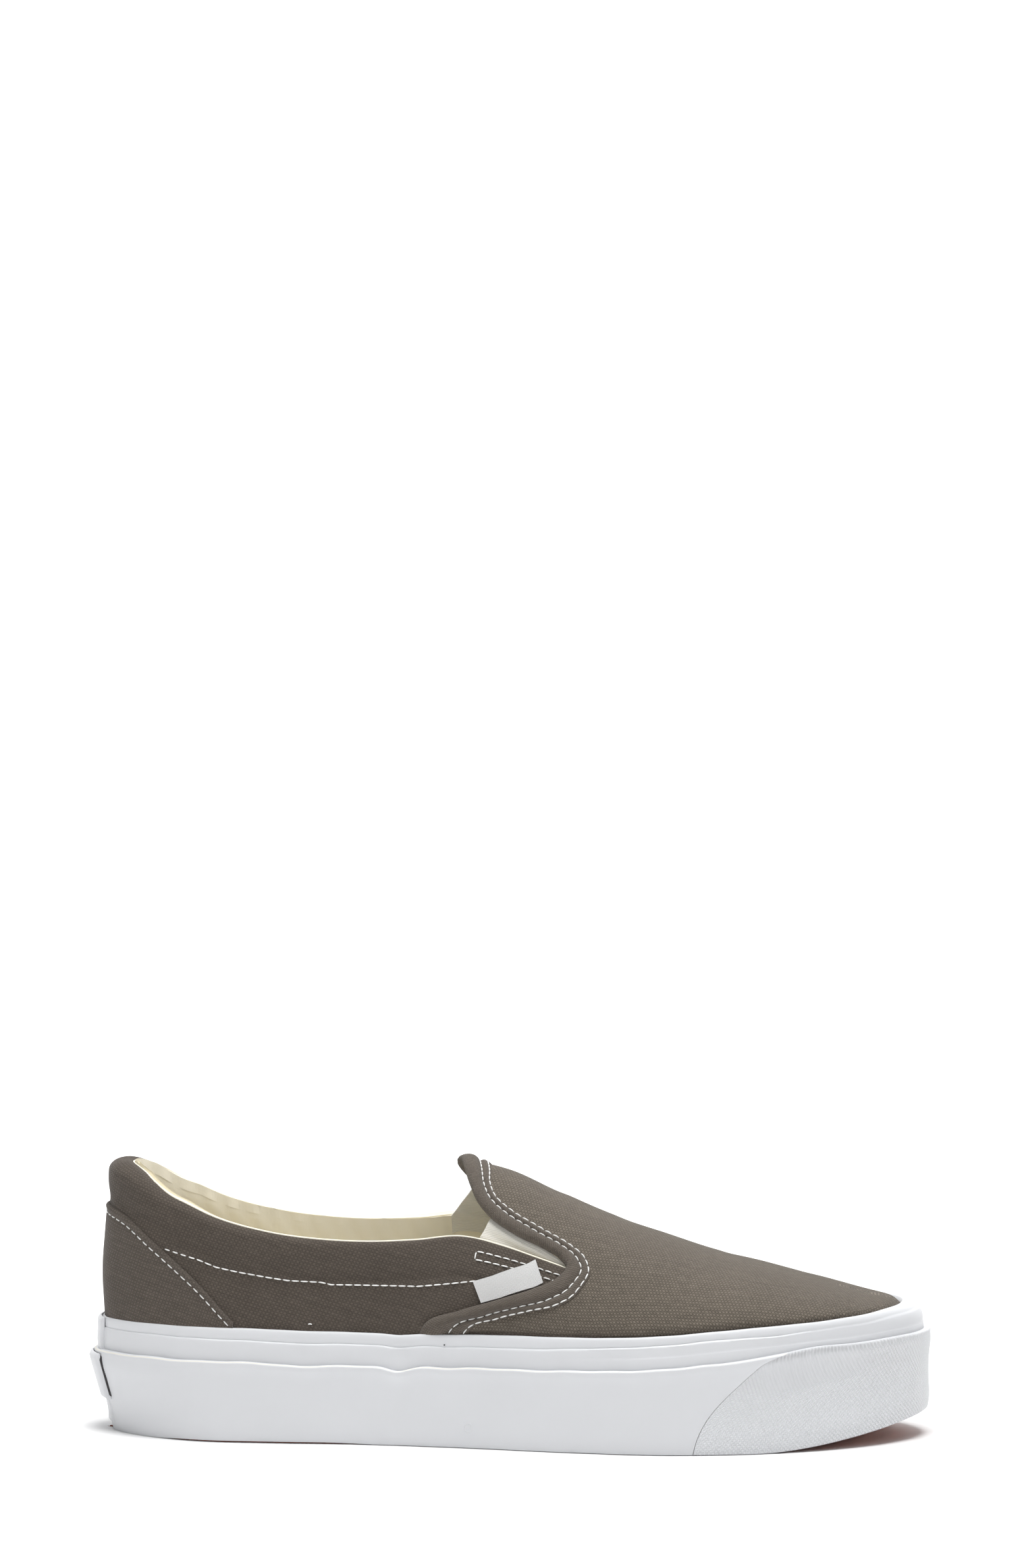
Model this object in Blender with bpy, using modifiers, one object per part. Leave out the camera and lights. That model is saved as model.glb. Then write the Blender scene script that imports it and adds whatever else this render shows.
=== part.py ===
"""Slip-on sneaker, right shoe, standing empty on its sole. Metres, +Z up.

The toe points along +X and the outer side of the foot along -Y. The origin is on the floor,
under the middle of the shoe. Every piece is an offset of one last surface, which is worked
out from the length, the ball width, the instep height and the heel height.

The last surface has two parameters. "turn" goes once round the shoe: -1 and 1 are the toe
tip, 0 is the back of the heel, and negative values are the outer side. "level" goes up a
section: -1 is the underside, 0 the top of the upright wall, and 1 the crest line.
"""

import bpy
import bmesh
import numpy as np

# Sizes of the last
LAST_LENGTH = 0.2831
BALL_WIDTH = 0.095
INSTEP_HEIGHT = 0.096
HEEL_HEIGHT = 0.0965
TOE_SPRING = 0.0093
HEEL_TUCK = 0.006

# Sizes of the upper
QUARTER_WALL = 0.003
VAMP_WALL = 0.0018
VAMP_STEP = 0.001
VAMP_SINK = 0.0006
VAMP_RISE = 0.005
VAMP_RISE_START = 0.001
COLLAR_DEPTH = 0.013
COLLAR_SWELL = 0.0013
COLLAR_PAD = 0.0065
COLLAR_MEDIAL_LIFT = 0.0018
COLLAR_LIFT_TURN = 0.2
MIDDLE_PAD = 0.22
BINDING_THICK = 0.0008
COUNTER_THICK = 0.0009
GORE_THICK = 0.0009
GORE_HEM = 0.006
GORE_HEM_FADE = 0.04
GORE_REAR = 0.446
GORE_FRONT = 0.573
TAB_WIDTH = 0.007
TAB_THICK = 0.0006

# Sizes of the sole
SIDE_HEIGHT = 0.040
STRIP_THICK = 0.0016
STRIP_LIP = 0.0011
BAND_THICK = 0.0024
LIP_HEIGHT = 0.0012
LIP_SETBACK = 0.0009
WALL_SEAT = 0.008
FOOTBED_HEIGHT = 0.013
INSOLE_THICK = 0.004
INSOLE_DISH = 0.0015
INSOLE_RIM = 0.008
HEEL_STRIP_THICK = 0.0009
HEEL_STRIP_HALF = 0.009
PATCH_THICK = 0.0017
PATCH_HALF = 0.011
PATCH_BOTTOM = 0.0125
GROOVE_WIDTH = 0.003
GROOVE_DEPTH = 0.0011
GROOVE_PITCH = 0.0105
GROOVE_MARGIN = 0.012
GROOVE_FIRST = 0.050
GROOVE_LAST = 0.785
WAIST_REAR = 0.30
WAIST_FRONT = 0.47

# Clearance between pieces that touch
GAP = 0.0003

# How finely the surfaces are divided
HALF_COLUMNS = 40
END_COLUMNS = 5
END_CROWDING = 0.45
END_SPACE = 0.01
VAMP_ROWS = 13
VAMP_COLUMNS = 19
VAMP_CROWDING = 0.06
VAMP_LEVELLING = 1.3
GORE_COLUMNS = 9
TAB_COLUMNS = 5
HEEL_COLUMNS = 7
DENSE = 1500
HALVINGS = 26


def table(columns, rows):
    """A table of rows as named columns."""
    values = np.array(rows, dtype=float)
    return {name: values[:, i] for i, name in enumerate(columns.split())}


# Outline of the last, once round from the toe tip by the outer side to the heel and back.
# along is a share of LAST_LENGTH from the heel, across a share of BALL_WIDTH, medial positive.
OUTLINE = table("along across", [
    (1.000, 0.054),
    (0.990, -0.073),
    (0.956, -0.204),
    (0.891, -0.346),
    (0.801, -0.455),
    (0.698, -0.500),
    (0.578, -0.455),
    (0.455, -0.372),
    (0.327, -0.311),
    (0.204, -0.294),
    (0.101, -0.257),
    (0.036, -0.162),
    (0.0055, -0.052),
    (0.000, 0.033),
    (0.0055, 0.117),
    (0.036, 0.227),
    (0.101, 0.319),
    (0.204, 0.348),
    (0.327, 0.340),
    (0.433, 0.359),
    (0.553, 0.436),
    (0.674, 0.500),
    (0.769, 0.492),
    (0.861, 0.433),
    (0.931, 0.333),
    (0.985, 0.185),
])

# Sections of the last. ridge is the crest's height as a share of INSTEP_HEIGHT; behind the
# flap it is the line that the walls lean towards. crest is its place across, as a share of
# BALL_WIDTH. fullness is the exponent of the section's arc. wall is the height where the
# upright wall ends, a share of SIDE_HEIGHT.
SECTIONS = table("along ridge crest fullness wall", [
    (0.000, 1.560, 0.033, 2.40, 0.95),
    (0.108, 1.440, 0.033, 2.30, 0.95),
    (0.211, 1.300, 0.036, 2.15, 0.95),
    (0.324, 1.155, 0.045, 2.10, 0.95),
    (0.448, 0.976, 0.064, 1.95, 0.95),
    (0.504, 0.927, 0.075, 1.92, 0.95),
    (0.553, 0.858, 0.083, 1.94, 0.95),
    (0.621, 0.771, 0.085, 1.96, 0.95),
    (0.684, 0.711, 0.085, 2.00, 0.95),
    (0.748, 0.646, 0.083, 2.10, 0.97),
    (0.811, 0.598, 0.080, 2.25, 0.99),
    (0.877, 0.543, 0.075, 2.50, 1.01),
    (0.942, 0.498, 0.066, 2.90, 1.02),
    (1.000, 0.480, 0.056, 3.30, 1.00),
])

# Where the spine ends that the walls fan out from, and how gently it stops.
SPINE_HEEL = 0.154
SPINE_HEEL_FADE = 0.050
SPINE_TOE = 0.833
SPINE_TOE_FADE = 0.078

# Toe spring: where the underside leaves the floor and how it curves.
SPRING_START = 0.805
SPRING_CURVE = 1.5

# Curve of the heel's back. height is a share of SIDE_HEIGHT, tuck a share of HEEL_TUCK.
HEEL_CURVE = table("height tuck", [
    (0.00, 0.96),
    (0.20, 0.88),
    (0.32, 0.70),
    (0.50, 0.36),
    (0.70, 0.02),
    (1.00, 0.00),
    (1.40, -0.14),
    (1.75, -0.06),
    (2.10, 0.00),
    (4.50, 0.00),
])
HEEL_TUCK_REACH = 0.170

# Heights on the side of the sole, as shares of SIDE_HEIGHT: the canvas edge, the line under
# it, and the top of the band and bumper.
SIDE = table("along top line band", [
    (0.000, 0.995, 0.905, 0.720),
    (0.066, 0.995, 0.903, 0.718),
    (0.211, 0.978, 0.873, 0.690),
    (0.356, 0.958, 0.858, 0.678),
    (0.515, 0.980, 0.873, 0.700),
    (0.604, 0.985, 0.898, 0.710),
    (0.691, 1.015, 0.940, 0.745),
    (0.762, 1.052, 0.983, 0.790),
    (0.822, 1.080, 1.005, 0.850),
    (0.868, 1.090, 1.030, 0.900),
    (0.910, 1.102, 1.045, 0.905),
    (0.977, 1.128, 1.075, 0.925),
    (1.000, 1.135, 1.078, 0.925),
])

# Profile of the band and bumper. height is a share of their own height, bulge of BAND_THICK.
BAND_PROFILE = table("height bulge", [
    (0.00, 0.62),
    (0.12, 0.86),
    (0.36, 0.98),
    (0.66, 1.00),
    (0.93, 0.96),
    (1.00, 0.76),
])

# Heights of the upright wall's rows, which the pieces that lie on each other share.
WALL_ROWS = (0.36, 0.66, 1.00)

# The bumper's rear edge. height is a share of the bumper's own height.
BUMPER_EDGE = table("height along", [
    (0.00, 0.7220),
    (0.11, 0.7245),
    (0.38, 0.7375),
    (0.59, 0.7560),
    (0.75, 0.7756),
    (0.86, 0.7910),
    (0.945, 0.8080),
    (1.00, 0.8320),
])

# Top edge of the collar as a share of HEEL_HEIGHT, and how far it is padded.
COLLAR = table("along top pad", [
    (0.000, 0.985, 1.00),
    (0.008, 0.981, 1.00),
    (0.036, 0.950, 0.97),
    (0.055, 0.920, 0.94),
    (0.080, 0.880, 0.90),
    (0.101, 0.856, 0.86),
    (0.144, 0.803, 0.74),
    (0.204, 0.756, 0.60),
    (0.267, 0.731, 0.50),
    (0.327, 0.724, 0.44),
    (0.384, 0.732, 0.36),
    (0.444, 0.746, 0.12),
    (0.494, 0.715, 0.00),
    (0.532, 0.681, 0.00),
    (0.569, 0.646, 0.00),
    (0.621, 0.590, 0.00),
])
QUARTER_END = 0.613

# Wall of the collar from its seam to its rim. below is a share of COLLAR_DEPTH, swell of
# COLLAR_SWELL, fill of COLLAR_PAD, and round closes the wall towards its middle.
COLLAR_WALL = table("below swell fill round", [
    (1.00, 0.00, 0.62, 0.00),
    (0.72, 0.62, 0.88, 0.00),
    (0.42, 1.00, 1.00, 0.02),
    (0.18, 0.90, 0.95, 0.14),
    (0.04, 0.50, 0.80, 0.50),
    (0.00, 0.10, 0.60, 0.82),
])

# The vamp's rear edge from the sole by the V's corner to the flap's tip, and the front
# border of the bound strip beside it. along is a share of LAST_LENGTH, level as above.
VAMP_REAR = table("along level border_along border_level", [
    (0.363, -0.765, 0.416, -0.765),
    (0.392, 0.017, 0.449, 0.015),
    (0.441, 0.107, 0.491, 0.088),
    (0.491, 0.175, 0.529, 0.136),
    (0.532, 0.248, 0.564, 0.188),
    (0.559, 0.322, 0.585, 0.270),
    (0.570, 0.394, 0.598, 0.387),
    (0.562, 0.438, 0.594, 0.462),
    (0.541, 0.468, 0.576, 0.520),
    (0.508, 0.487, 0.539, 0.562),
    (0.479, 0.536, 0.506, 0.594),
    (0.460, 0.621, 0.483, 0.658),
    (0.452, 0.704, 0.476, 0.732),
    (0.444, 0.840, 0.474, 0.862),
    (0.439, 1.000, 0.471, 1.000),
])

# Top edge of the heel counter, as a share of HEEL_HEIGHT.
COUNTER = table("along top", [
    (0.000, 0.822),
    (0.030, 0.785),
    (0.060, 0.718),
    (0.085, 0.660),
    (0.125, 0.555),
    (0.150, 0.475),
    (0.165, 0.428),
])

# Wall of the counter up a column, with the roll along its top edge. roll is a share of
# COUNTER_THICK.
COUNTER_WALL = table("share roll", [
    (0.00, 1.0),
    (0.35, 1.0),
    (0.70, 1.0),
    (0.90, 1.1),
    (0.96, 1.7),
    (1.00, 1.0),
])

# Corners of the side tab along the vamp's rear edge, as shares of LAST_LENGTH.
TAB_REAR = 0.468
TAB_FRONT = 0.543
TAB_LEAN = 0.010


def smooth(at, xs, ys):
    """Cubic curve through the points (xs, ys), with slopes from their neighbours."""
    slopes = np.gradient(ys, xs)
    i = np.clip(np.searchsorted(xs, at, side="right") - 1, 0, len(xs) - 2)
    step = xs[i + 1] - xs[i]
    t = np.clip((at - xs[i]) / step, 0.0, 1.0)
    start = (1 + 2 * t) * (1 - t) ** 2 * ys[i] + t * (1 - t) ** 2 * step * slopes[i]
    end = t * t * (3 - 2 * t) * ys[i + 1] + t * t * (t - 1) * step * slopes[i + 1]
    return start + end


def read(rows, column, at, key="along"):
    """A column of a table at the given places."""
    return smooth(np.asarray(at, dtype=float), rows[key], rows[column])


def ease(t):
    """0 below 0, 1 above 1, and a smooth rise between."""
    t = np.clip(t, 0.0, 1.0)
    return t * t * (3 - 2 * t)


def closed_outline():
    """The last's outline as turn, along and across, from many points of a closed curve."""
    wrap = 3
    shares = [np.concatenate([c[-wrap:], c, c[:wrap]]) for c in OUTLINE.values()]
    sizes = [shares[0] * LAST_LENGTH, shares[1] * BALL_WIDTH]
    chords = np.hypot(np.diff(sizes[0]), np.diff(sizes[1]))
    length = np.concatenate([[0.0], np.cumsum(chords)])
    path = np.linspace(length[wrap], length[-wrap], 4 * DENSE)
    along = smooth(path, length, shares[0])
    across = smooth(path, length, shares[1])
    steps = np.hypot(np.diff(along) * LAST_LENGTH, np.diff(across) * BALL_WIDTH)
    run = np.concatenate([[0.0], np.cumsum(steps)])
    heel = np.argmin(along)
    turn = np.where(run < run[heel], run / run[heel] - 1,
                    (run - run[heel]) / (run[-1] - run[heel]))
    return turn, along, across


OUTLINE_TURN, OUTLINE_ALONG, OUTLINE_ACROSS = closed_outline()


def outline_at(turn):
    """Shares along and across of the last's outline."""
    turn = (np.asarray(turn, dtype=float) + 1) % 2 - 1
    return (np.interp(turn, OUTLINE_TURN, OUTLINE_ALONG),
            np.interp(turn, OUTLINE_TURN, OUTLINE_ACROSS))


def column_along(turn):
    """The share along that a column's tables are read at, the same on both sides."""
    return 0.5 * (outline_at(turn)[0] + outline_at(-np.asarray(turn, dtype=float))[0])


def spine_along(turn):
    """Where a column meets the crest line: level with its foot, and bunched at the ends."""
    foot = column_along(turn)
    toe = SPINE_TOE + SPINE_TOE_FADE * (1 - np.exp(-np.maximum(foot - SPINE_TOE, 0) / SPINE_TOE_FADE))
    heel = SPINE_HEEL - SPINE_HEEL_FADE * (
        1 - np.exp(-np.maximum(SPINE_HEEL - foot, 0) / SPINE_HEEL_FADE))
    return np.where(foot > SPINE_TOE, toe, np.where(foot < SPINE_HEEL, heel, foot))


def spring(turn):
    """Height of the underside above the floor."""
    rise = np.maximum(column_along(turn) - SPRING_START, 0) / (1 - SPRING_START)
    return TOE_SPRING * rise ** SPRING_CURVE


def side_row(turn, share):
    """A height on the rubber side, share of the way from the band's foot to its top."""
    foot = spring(turn) + LIP_HEIGHT + GAP
    return foot + share * (side_height(turn, "band") - foot)


def side_height(turn, column):
    """A height on the side of the sole, from the floor."""
    return read(SIDE, column, column_along(turn)) * SIDE_HEIGHT


def last_surface(turn, level):
    """Points of the last: an upright wall, then an arc from the wall to the crest line."""
    turn, level = np.broadcast_arrays(np.asarray(turn, dtype=float), np.asarray(level, dtype=float))
    along, across = outline_at(turn)
    spine = spine_along(turn)
    foot = column_along(turn)
    fullness = read(SECTIONS, "fullness", foot)
    wall = read(SECTIONS, "wall", foot) * SIDE_HEIGHT
    arc = np.clip(level, 0.0, 1.0) * np.pi / 2
    out = np.cos(arc) ** (2 / fullness)
    up = np.sin(arc) ** (2 / fullness)
    x_share = spine + (along - spine) * out
    crest = read(SECTIONS, "crest", spine)
    y_share = crest + (across - crest) * out
    ridge = read(SECTIONS, "ridge", x_share) * INSTEP_HEIGHT
    floor = spring(turn)
    height = np.where(level < 0, floor + (wall - floor) * (1 + level), wall + (ridge - wall) * up)
    x = (x_share - 0.5) * LAST_LENGTH
    y = y_share * BALL_WIDTH
    inward_x = (spine - along) * LAST_LENGTH
    inward_y = (crest - across) * BALL_WIDTH
    reach = np.hypot(inward_x, inward_y)
    tuck = HEEL_TUCK * read(HEEL_CURVE, "tuck", height / SIDE_HEIGHT, "height")
    tuck = tuck * (1 - ease(foot / HEEL_TUCK_REACH))
    return np.stack([x + tuck * inward_x / reach, y + tuck * inward_y / reach, height], axis=-1)


def offset_surface(turn, level, distance):
    """Points at a distance outside the last surface, along its normal."""
    step = 1e-4
    turn, level, distance = np.broadcast_arrays(
        np.asarray(turn, dtype=float), np.asarray(level, dtype=float), np.asarray(distance, dtype=float))
    above = np.minimum(level + step, 1.0)
    round_it = last_surface(turn + step, level) - last_surface(turn - step, level)
    up_it = last_surface(turn, above) - last_surface(turn, above - 2 * step)
    normal = np.cross(up_it, round_it)
    normal = normal / np.linalg.norm(normal, axis=-1, keepdims=True)
    return last_surface(turn, level) + normal * distance[..., None]


def level_at(turn, height):
    """The level where a column reaches a height, found by halving the arc again and again."""
    turn, height = np.broadcast_arrays(np.asarray(turn, dtype=float), np.asarray(height, dtype=float))
    along = outline_at(turn)[0]
    spine = spine_along(turn)
    foot = column_along(turn)
    fullness = read(SECTIONS, "fullness", foot)
    wall = read(SECTIONS, "wall", foot) * SIDE_HEIGHT
    floor = spring(turn)
    out_low, out_high = np.zeros_like(turn), np.ones_like(turn)
    for _ in range(HALVINGS):
        out = 0.5 * (out_low + out_high)
        ridge = read(SECTIONS, "ridge", spine + (along - spine) * out) * INSTEP_HEIGHT
        above = wall + (ridge - wall) * (1 - out ** fullness) ** (1 / fullness) > height
        out_low, out_high = np.where(above, out, out_low), np.where(above, out_high, out)
    on_arc = np.arccos(out ** (fullness / 2)) * 2 / np.pi
    return np.where(height < wall, (height - floor) / (wall - floor) - 1, on_arc)


def turn_at(along, side):
    """The turn of the column whose foot lies at a share along; side is -1 outer, 1 inner."""
    turns = np.linspace(0.0, 1.0, DENSE)
    return side * np.interp(along, column_along(turns), turns)


def ring_turns():
    """The columns that every closed ring shares, closer together at heel and toe."""
    k = np.arange(HALF_COLUMNS + 1) / HALF_COLUMNS
    half = (1 - END_CROWDING) * k + END_CROWDING * (1 - np.cos(np.pi * k)) / 2
    return np.concatenate([-half[:0:-1], half[:-1]])


def turns_between(start, end):
    """The ring's columns from start to end, with both of these added."""
    ring = ring_turns()
    margin = 0.25 * np.diff(ring).min()
    inner = ring[(ring > start + margin) & (ring < end - margin)]
    return np.concatenate([[start], inner, [end]])


def new_material(name, colour, roughness):
    """A plain Principled material."""
    material = bpy.data.materials.new(name)
    material.use_nodes = True
    shader = material.node_tree.nodes["Principled BSDF"]
    shader.inputs["Base Color"].default_value = (*colour, 1.0)
    shader.inputs["Roughness"].default_value = roughness
    return material


def new_object(name, points, faces, material, collection):
    """A mesh object from an array of points and a list of faces."""
    mesh = bpy.data.meshes.new(name)
    mesh.from_pydata(points.reshape(-1, 3).tolist(), [], faces)
    mesh.materials.append(material)
    obj = bpy.data.objects.new(name, mesh)
    collection.objects.link(obj)
    return obj


def tidy_mesh(obj, merge=1e-6):
    """Merge doubled points and turn all faces outwards."""
    edit = bmesh.new()
    edit.from_mesh(obj.data)
    bmesh.ops.remove_doubles(edit, verts=edit.verts, dist=merge)
    bmesh.ops.recalc_face_normals(edit, faces=edit.faces)
    edit.to_mesh(obj.data)
    edit.free()
    obj.data.shade_smooth()
    obj.data.set_sharp_from_angle(angle=np.radians(35))


def strip_faces(first, second, wrap=False):
    """Four-sided faces between two equally long rows of point numbers."""
    if wrap:
        first = np.append(first, first[0])
        second = np.append(second, second[0])
    return np.stack([first[:-1], second[:-1], second[1:], first[1:]], axis=-1).tolist()


def shell(name, outer, inner, material, collection, wrap=False, top_rim=True):
    """A closed wall between two grids of points, columns by rows."""
    columns, rows = outer.shape[:2]
    out_no = np.arange(columns * rows).reshape(columns, rows)
    in_no = out_no + columns * rows
    faces = []
    for row in range(rows - 1):
        faces += strip_faces(out_no[:, row], out_no[:, row + 1], wrap)
        faces += strip_faces(in_no[:, row + 1], in_no[:, row], wrap)
    faces += strip_faces(in_no[:, 0], out_no[:, 0], wrap)
    if top_rim:
        faces += strip_faces(out_no[:, -1], in_no[:, -1], wrap)
    if not wrap:
        faces += strip_faces(out_no[0], in_no[0])
        faces += strip_faces(in_no[-1], out_no[-1])
    obj = new_object(name, np.stack([outer, inner]), faces, material, collection)
    tidy_mesh(obj)
    return obj


def slab(name, rings, material, collection):
    """A solid from closed rings, from the bottom up, with ladders of faces as its two caps."""
    count = len(rings[0])
    number = np.arange(len(rings) * count).reshape(len(rings), count)
    faces = []
    for low, high in zip(number[:-1], number[1:]):
        faces += strip_faces(low, high, wrap=True)
    outer_side = np.arange(HALF_COLUMNS, -1, -1)
    inner_side = np.arange(HALF_COLUMNS, 2 * HALF_COLUMNS + 1) % count
    for ring in (number[0], number[-1]):
        faces += strip_faces(ring[outer_side[1:-1]], ring[inner_side[1:-1]])
        faces.append([ring[outer_side[0]], ring[inner_side[1]], ring[outer_side[1]]])
        faces.append([ring[outer_side[-1]], ring[inner_side[-2]], ring[outer_side[-2]]])
    obj = new_object(name, np.stack(rings), faces, material, collection)
    tidy_mesh(obj)
    return obj


def sheet(name, points, thickness, material, collection):
    """An open grid of points, columns by rows, thickened outwards by a Solidify modifier."""
    columns, rows = points.shape[:2]
    number = np.arange(columns * rows).reshape(columns, rows)
    faces = []
    for row in range(rows - 1):
        faces += strip_faces(number[:, row], number[:, row + 1])
    obj = new_object(name, points, faces, material, collection)
    obj.data.shade_smooth()
    wall = obj.modifiers.new("wall", "SOLIDIFY")
    wall.thickness = thickness
    wall.offset = 1.0
    wall.use_even_offset = False
    return obj


def collar_top(turn):
    """Height of the collar's top edge; the inner side stands a little higher."""
    lift = COLLAR_MEDIAL_LIFT * ease(np.asarray(turn) / COLLAR_LIFT_TURN)
    return read(COLLAR, "top", column_along(turn)) * HEEL_HEIGHT + lift


def collar_pad(turn):
    """How far the collar is padded, 0 to 1."""
    return np.clip(read(COLLAR, "pad", column_along(turn)), 0.0, 1.0)


def quarter_inner(turn, fill):
    """Offset of the quarters' inner face from the last surface."""
    return -QUARTER_WALL - collar_pad(turn) * COLLAR_PAD * fill


def make_quarters(material, collection):
    """The canvas round the heel and both sides, with the padded collar along its top."""
    turns = turns_between(turn_at(QUARTER_END, -1), turn_at(QUARTER_END, 1))
    top = collar_top(turns)
    seam = top - COLLAR_DEPTH
    rubber = side_height(turns, "top")
    pad = collar_pad(turns)
    low_rows = [(spring(turns) + WALL_SEAT + GAP, 0.0)]
    low_rows += [(side_row(turns, share), 0.0) for share in WALL_ROWS]
    low_rows += [(rubber, 0.0), (0.5 * (rubber + seam), MIDDLE_PAD)]
    outer, inner = [], []
    for height, fill in low_rows:
        level = level_at(turns, height)
        outer.append(offset_surface(turns, level, 0.0))
        inner.append(offset_surface(turns, level, quarter_inner(turns, fill)))
    for below, swell, fill, rounding in zip(*COLLAR_WALL.values()):
        level = level_at(turns, top - below * COLLAR_DEPTH)
        outside = pad * COLLAR_SWELL * swell
        inside = quarter_inner(turns, fill)
        close = rounding * 0.5 * (outside - inside)
        outer.append(offset_surface(turns, level, outside - close))
        inner.append(offset_surface(turns, level, inside + close))
    return shell("upper", np.stack(outer, axis=1), np.stack(inner, axis=1), material, collection)


def vamp_lift(turn, level):
    """Offset of the vamp's outer face: sunk behind the rubber, a step proud above it."""
    section = np.linalg.norm(last_surface(turn, 1.0) - last_surface(turn, 0.0), axis=-1)
    climbed = (level - level_at(turn, side_height(turn, "top"))) * section
    rise = ease((climbed + VAMP_RISE_START) / VAMP_RISE)
    return VAMP_STEP * rise - VAMP_SINK * (1 - rise)


def vamp_grid():
    """Turns and levels of the vamp, columns by rows, from its outer rear edge round the toe.

    Each row starts on the rear edge, crosses the bound strip to its border and then runs
    evenly on to the toe, while its level eases into evenly spaced ones.
    """
    points = [last_surface(turn_at(VAMP_REAR["along"], -1), VAMP_REAR["level"])]
    chords = np.linalg.norm(np.diff(points[0], axis=0), axis=1)
    run = np.concatenate([[0.0], np.cumsum(chords)])
    at = np.concatenate([[0.0], np.linspace(run[1], run[-1], VAMP_ROWS - 1)])
    corner = run[np.argmax(VAMP_REAR["along"])]
    at[np.argmin(np.abs(at - corner))] = corner
    edge = {name: smooth(at, run, column) for name, column in VAMP_REAR.items()}
    even = np.linspace(edge["level"][0], 1.0, VAMP_ROWS)
    half_turns, half_levels = [], []
    for share in (0.0, 0.5, 1.0):
        along = edge["along"] + share * (edge["border_along"] - edge["along"])
        half_turns.append(turn_at(along, 1))
        half_levels.append(edge["level"] + share * (edge["border_level"] - edge["level"]))
    border_turn, border_level = half_turns[-1], half_levels[-1]
    for step in np.arange(1, VAMP_COLUMNS + 1) / VAMP_COLUMNS:
        share = step + VAMP_CROWDING * np.sin(2 * np.pi * step)
        half_turns.append(border_turn + share * (1 - border_turn))
        half_levels.append(border_level + ease(VAMP_LEVELLING * step) * (even - border_level))
    half_turns, half_levels = np.array(half_turns), np.array(half_levels)
    half_levels[:, 0] = level_at(half_turns[:, 0], spring(half_turns[:, 0]) + WALL_SEAT + 2 * GAP)
    half_levels[:, -1] = 1.0
    turns = np.concatenate([-half_turns, half_turns[-2::-1]])
    levels = np.concatenate([half_levels, half_levels[-2::-1]])
    return turns, levels


def join_crest(points):
    """Give both sides of a grid the same points along the crest row."""
    points[:, -1] = 0.5 * (points[:, -1] + points[::-1, -1])
    return points


def make_vamp(material, collection):
    """The vamp with its flap, laid over the quarters and closed round the toe."""
    turns, levels = vamp_grid()
    lift = vamp_lift(turns, levels)
    outer = join_crest(offset_surface(turns, levels, lift))
    inner = join_crest(offset_surface(turns, levels, lift - VAMP_WALL))
    return shell("vamp", outer, inner, material, collection, top_rim=False)


def make_upper(material, collection, cutters):
    """The upper as one solid: the quarters joined with the vamp."""
    upper = make_quarters(material, collection)
    vamp = make_vamp(material, cutters)
    vamp.hide_render = True
    vamp.display_type = "WIRE"
    join = upper.modifiers.new("vamp", "BOOLEAN")
    join.operation = "UNION"
    join.solver = "EXACT"
    join.object = vamp
    return upper


def make_binding(material, collection):
    """The bound strip along the vamp's rear edge, from the rubber over the flap and back."""
    turns, levels = vamp_grid()
    turns, levels = turns[:3, 1:], levels[:3, 1:]
    turns = np.concatenate([turns, -turns[:, -2::-1]], axis=1)
    levels = np.concatenate([levels, levels[:, -2::-1]], axis=1)
    points = offset_surface(turns, levels, vamp_lift(turns, levels) + GAP)
    crest = (points.shape[1] - 1) // 2
    other = offset_surface(-turns[:, crest], levels[:, crest],
                           vamp_lift(-turns[:, crest], levels[:, crest]) + GAP)
    points[:, crest] = 0.5 * (points[:, crest] + other)
    return sheet("vamp_binding", points[::-1], BINDING_THICK, material, collection)


def make_counter(material, collection):
    """The heel counter: a triangle on each side, thicker along its rolled top edge."""
    end = turn_at(COUNTER["along"][-1], 1)
    turns = turns_between(-end, end)
    foot = side_height(turns, "top") + 2 * GAP
    top = read(COUNTER, "top", column_along(turns)) * HEEL_HEIGHT
    outer, inner = [], []
    for share, roll in zip(*COUNTER_WALL.values()):
        level = level_at(turns, foot + share * (top - foot))
        inner.append(offset_surface(turns, level, GAP))
        outer.append(offset_surface(turns, level, GAP + COUNTER_THICK * roll))
    return shell("heel_counter", np.stack(outer, axis=1), np.stack(inner, axis=1), material, collection)


def make_gore(name, side, material, collection):
    """The elastic in one V notch, hemmed behind the quarter and under the flap."""
    along = np.linspace(GORE_REAR, GORE_FRONT, GORE_COLUMNS)
    turns = turn_at(along, side)
    edge_top = collar_top(turns)
    upper_rows = slice(np.argmax(VAMP_REAR["along"]), None)
    flap_along = VAMP_REAR["along"][upper_rows][::-1]
    flap_level = VAMP_REAR["level"][upper_rows][::-1]
    flap = np.interp(along, flap_along, flap_level)
    flap_height = last_surface(turns, flap)[..., 2]
    low = quarter_inner(turns, 1.0) - 2 * GAP
    high = VAMP_STEP - VAMP_WALL - 2 * GAP
    hem = GORE_HEM * ease(0.5 + (GORE_FRONT - along) / GORE_HEM_FADE)
    rows = [(edge_top - hem, 0.0), (edge_top - 0.4 * hem, 0.0), (edge_top + 3 * GAP, 0.0)]
    opening = np.maximum(flap_height - edge_top, 5 * GAP)
    rows += [(edge_top + 3 * GAP + share * opening, share) for share in (0.33, 0.66, 1.0)]
    rows += [(edge_top + opening + 0.5 * GORE_HEM, 1.0)]
    points = []
    for height, share in rows:
        level = level_at(turns, height)
        points.append(offset_surface(turns, level, low + share * (high - low) - GORE_THICK))
    grid = np.stack(points, axis=1)
    if side < 0:
        grid = grid[::-1]
    return sheet(name, grid, GORE_THICK, material, collection)


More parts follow.
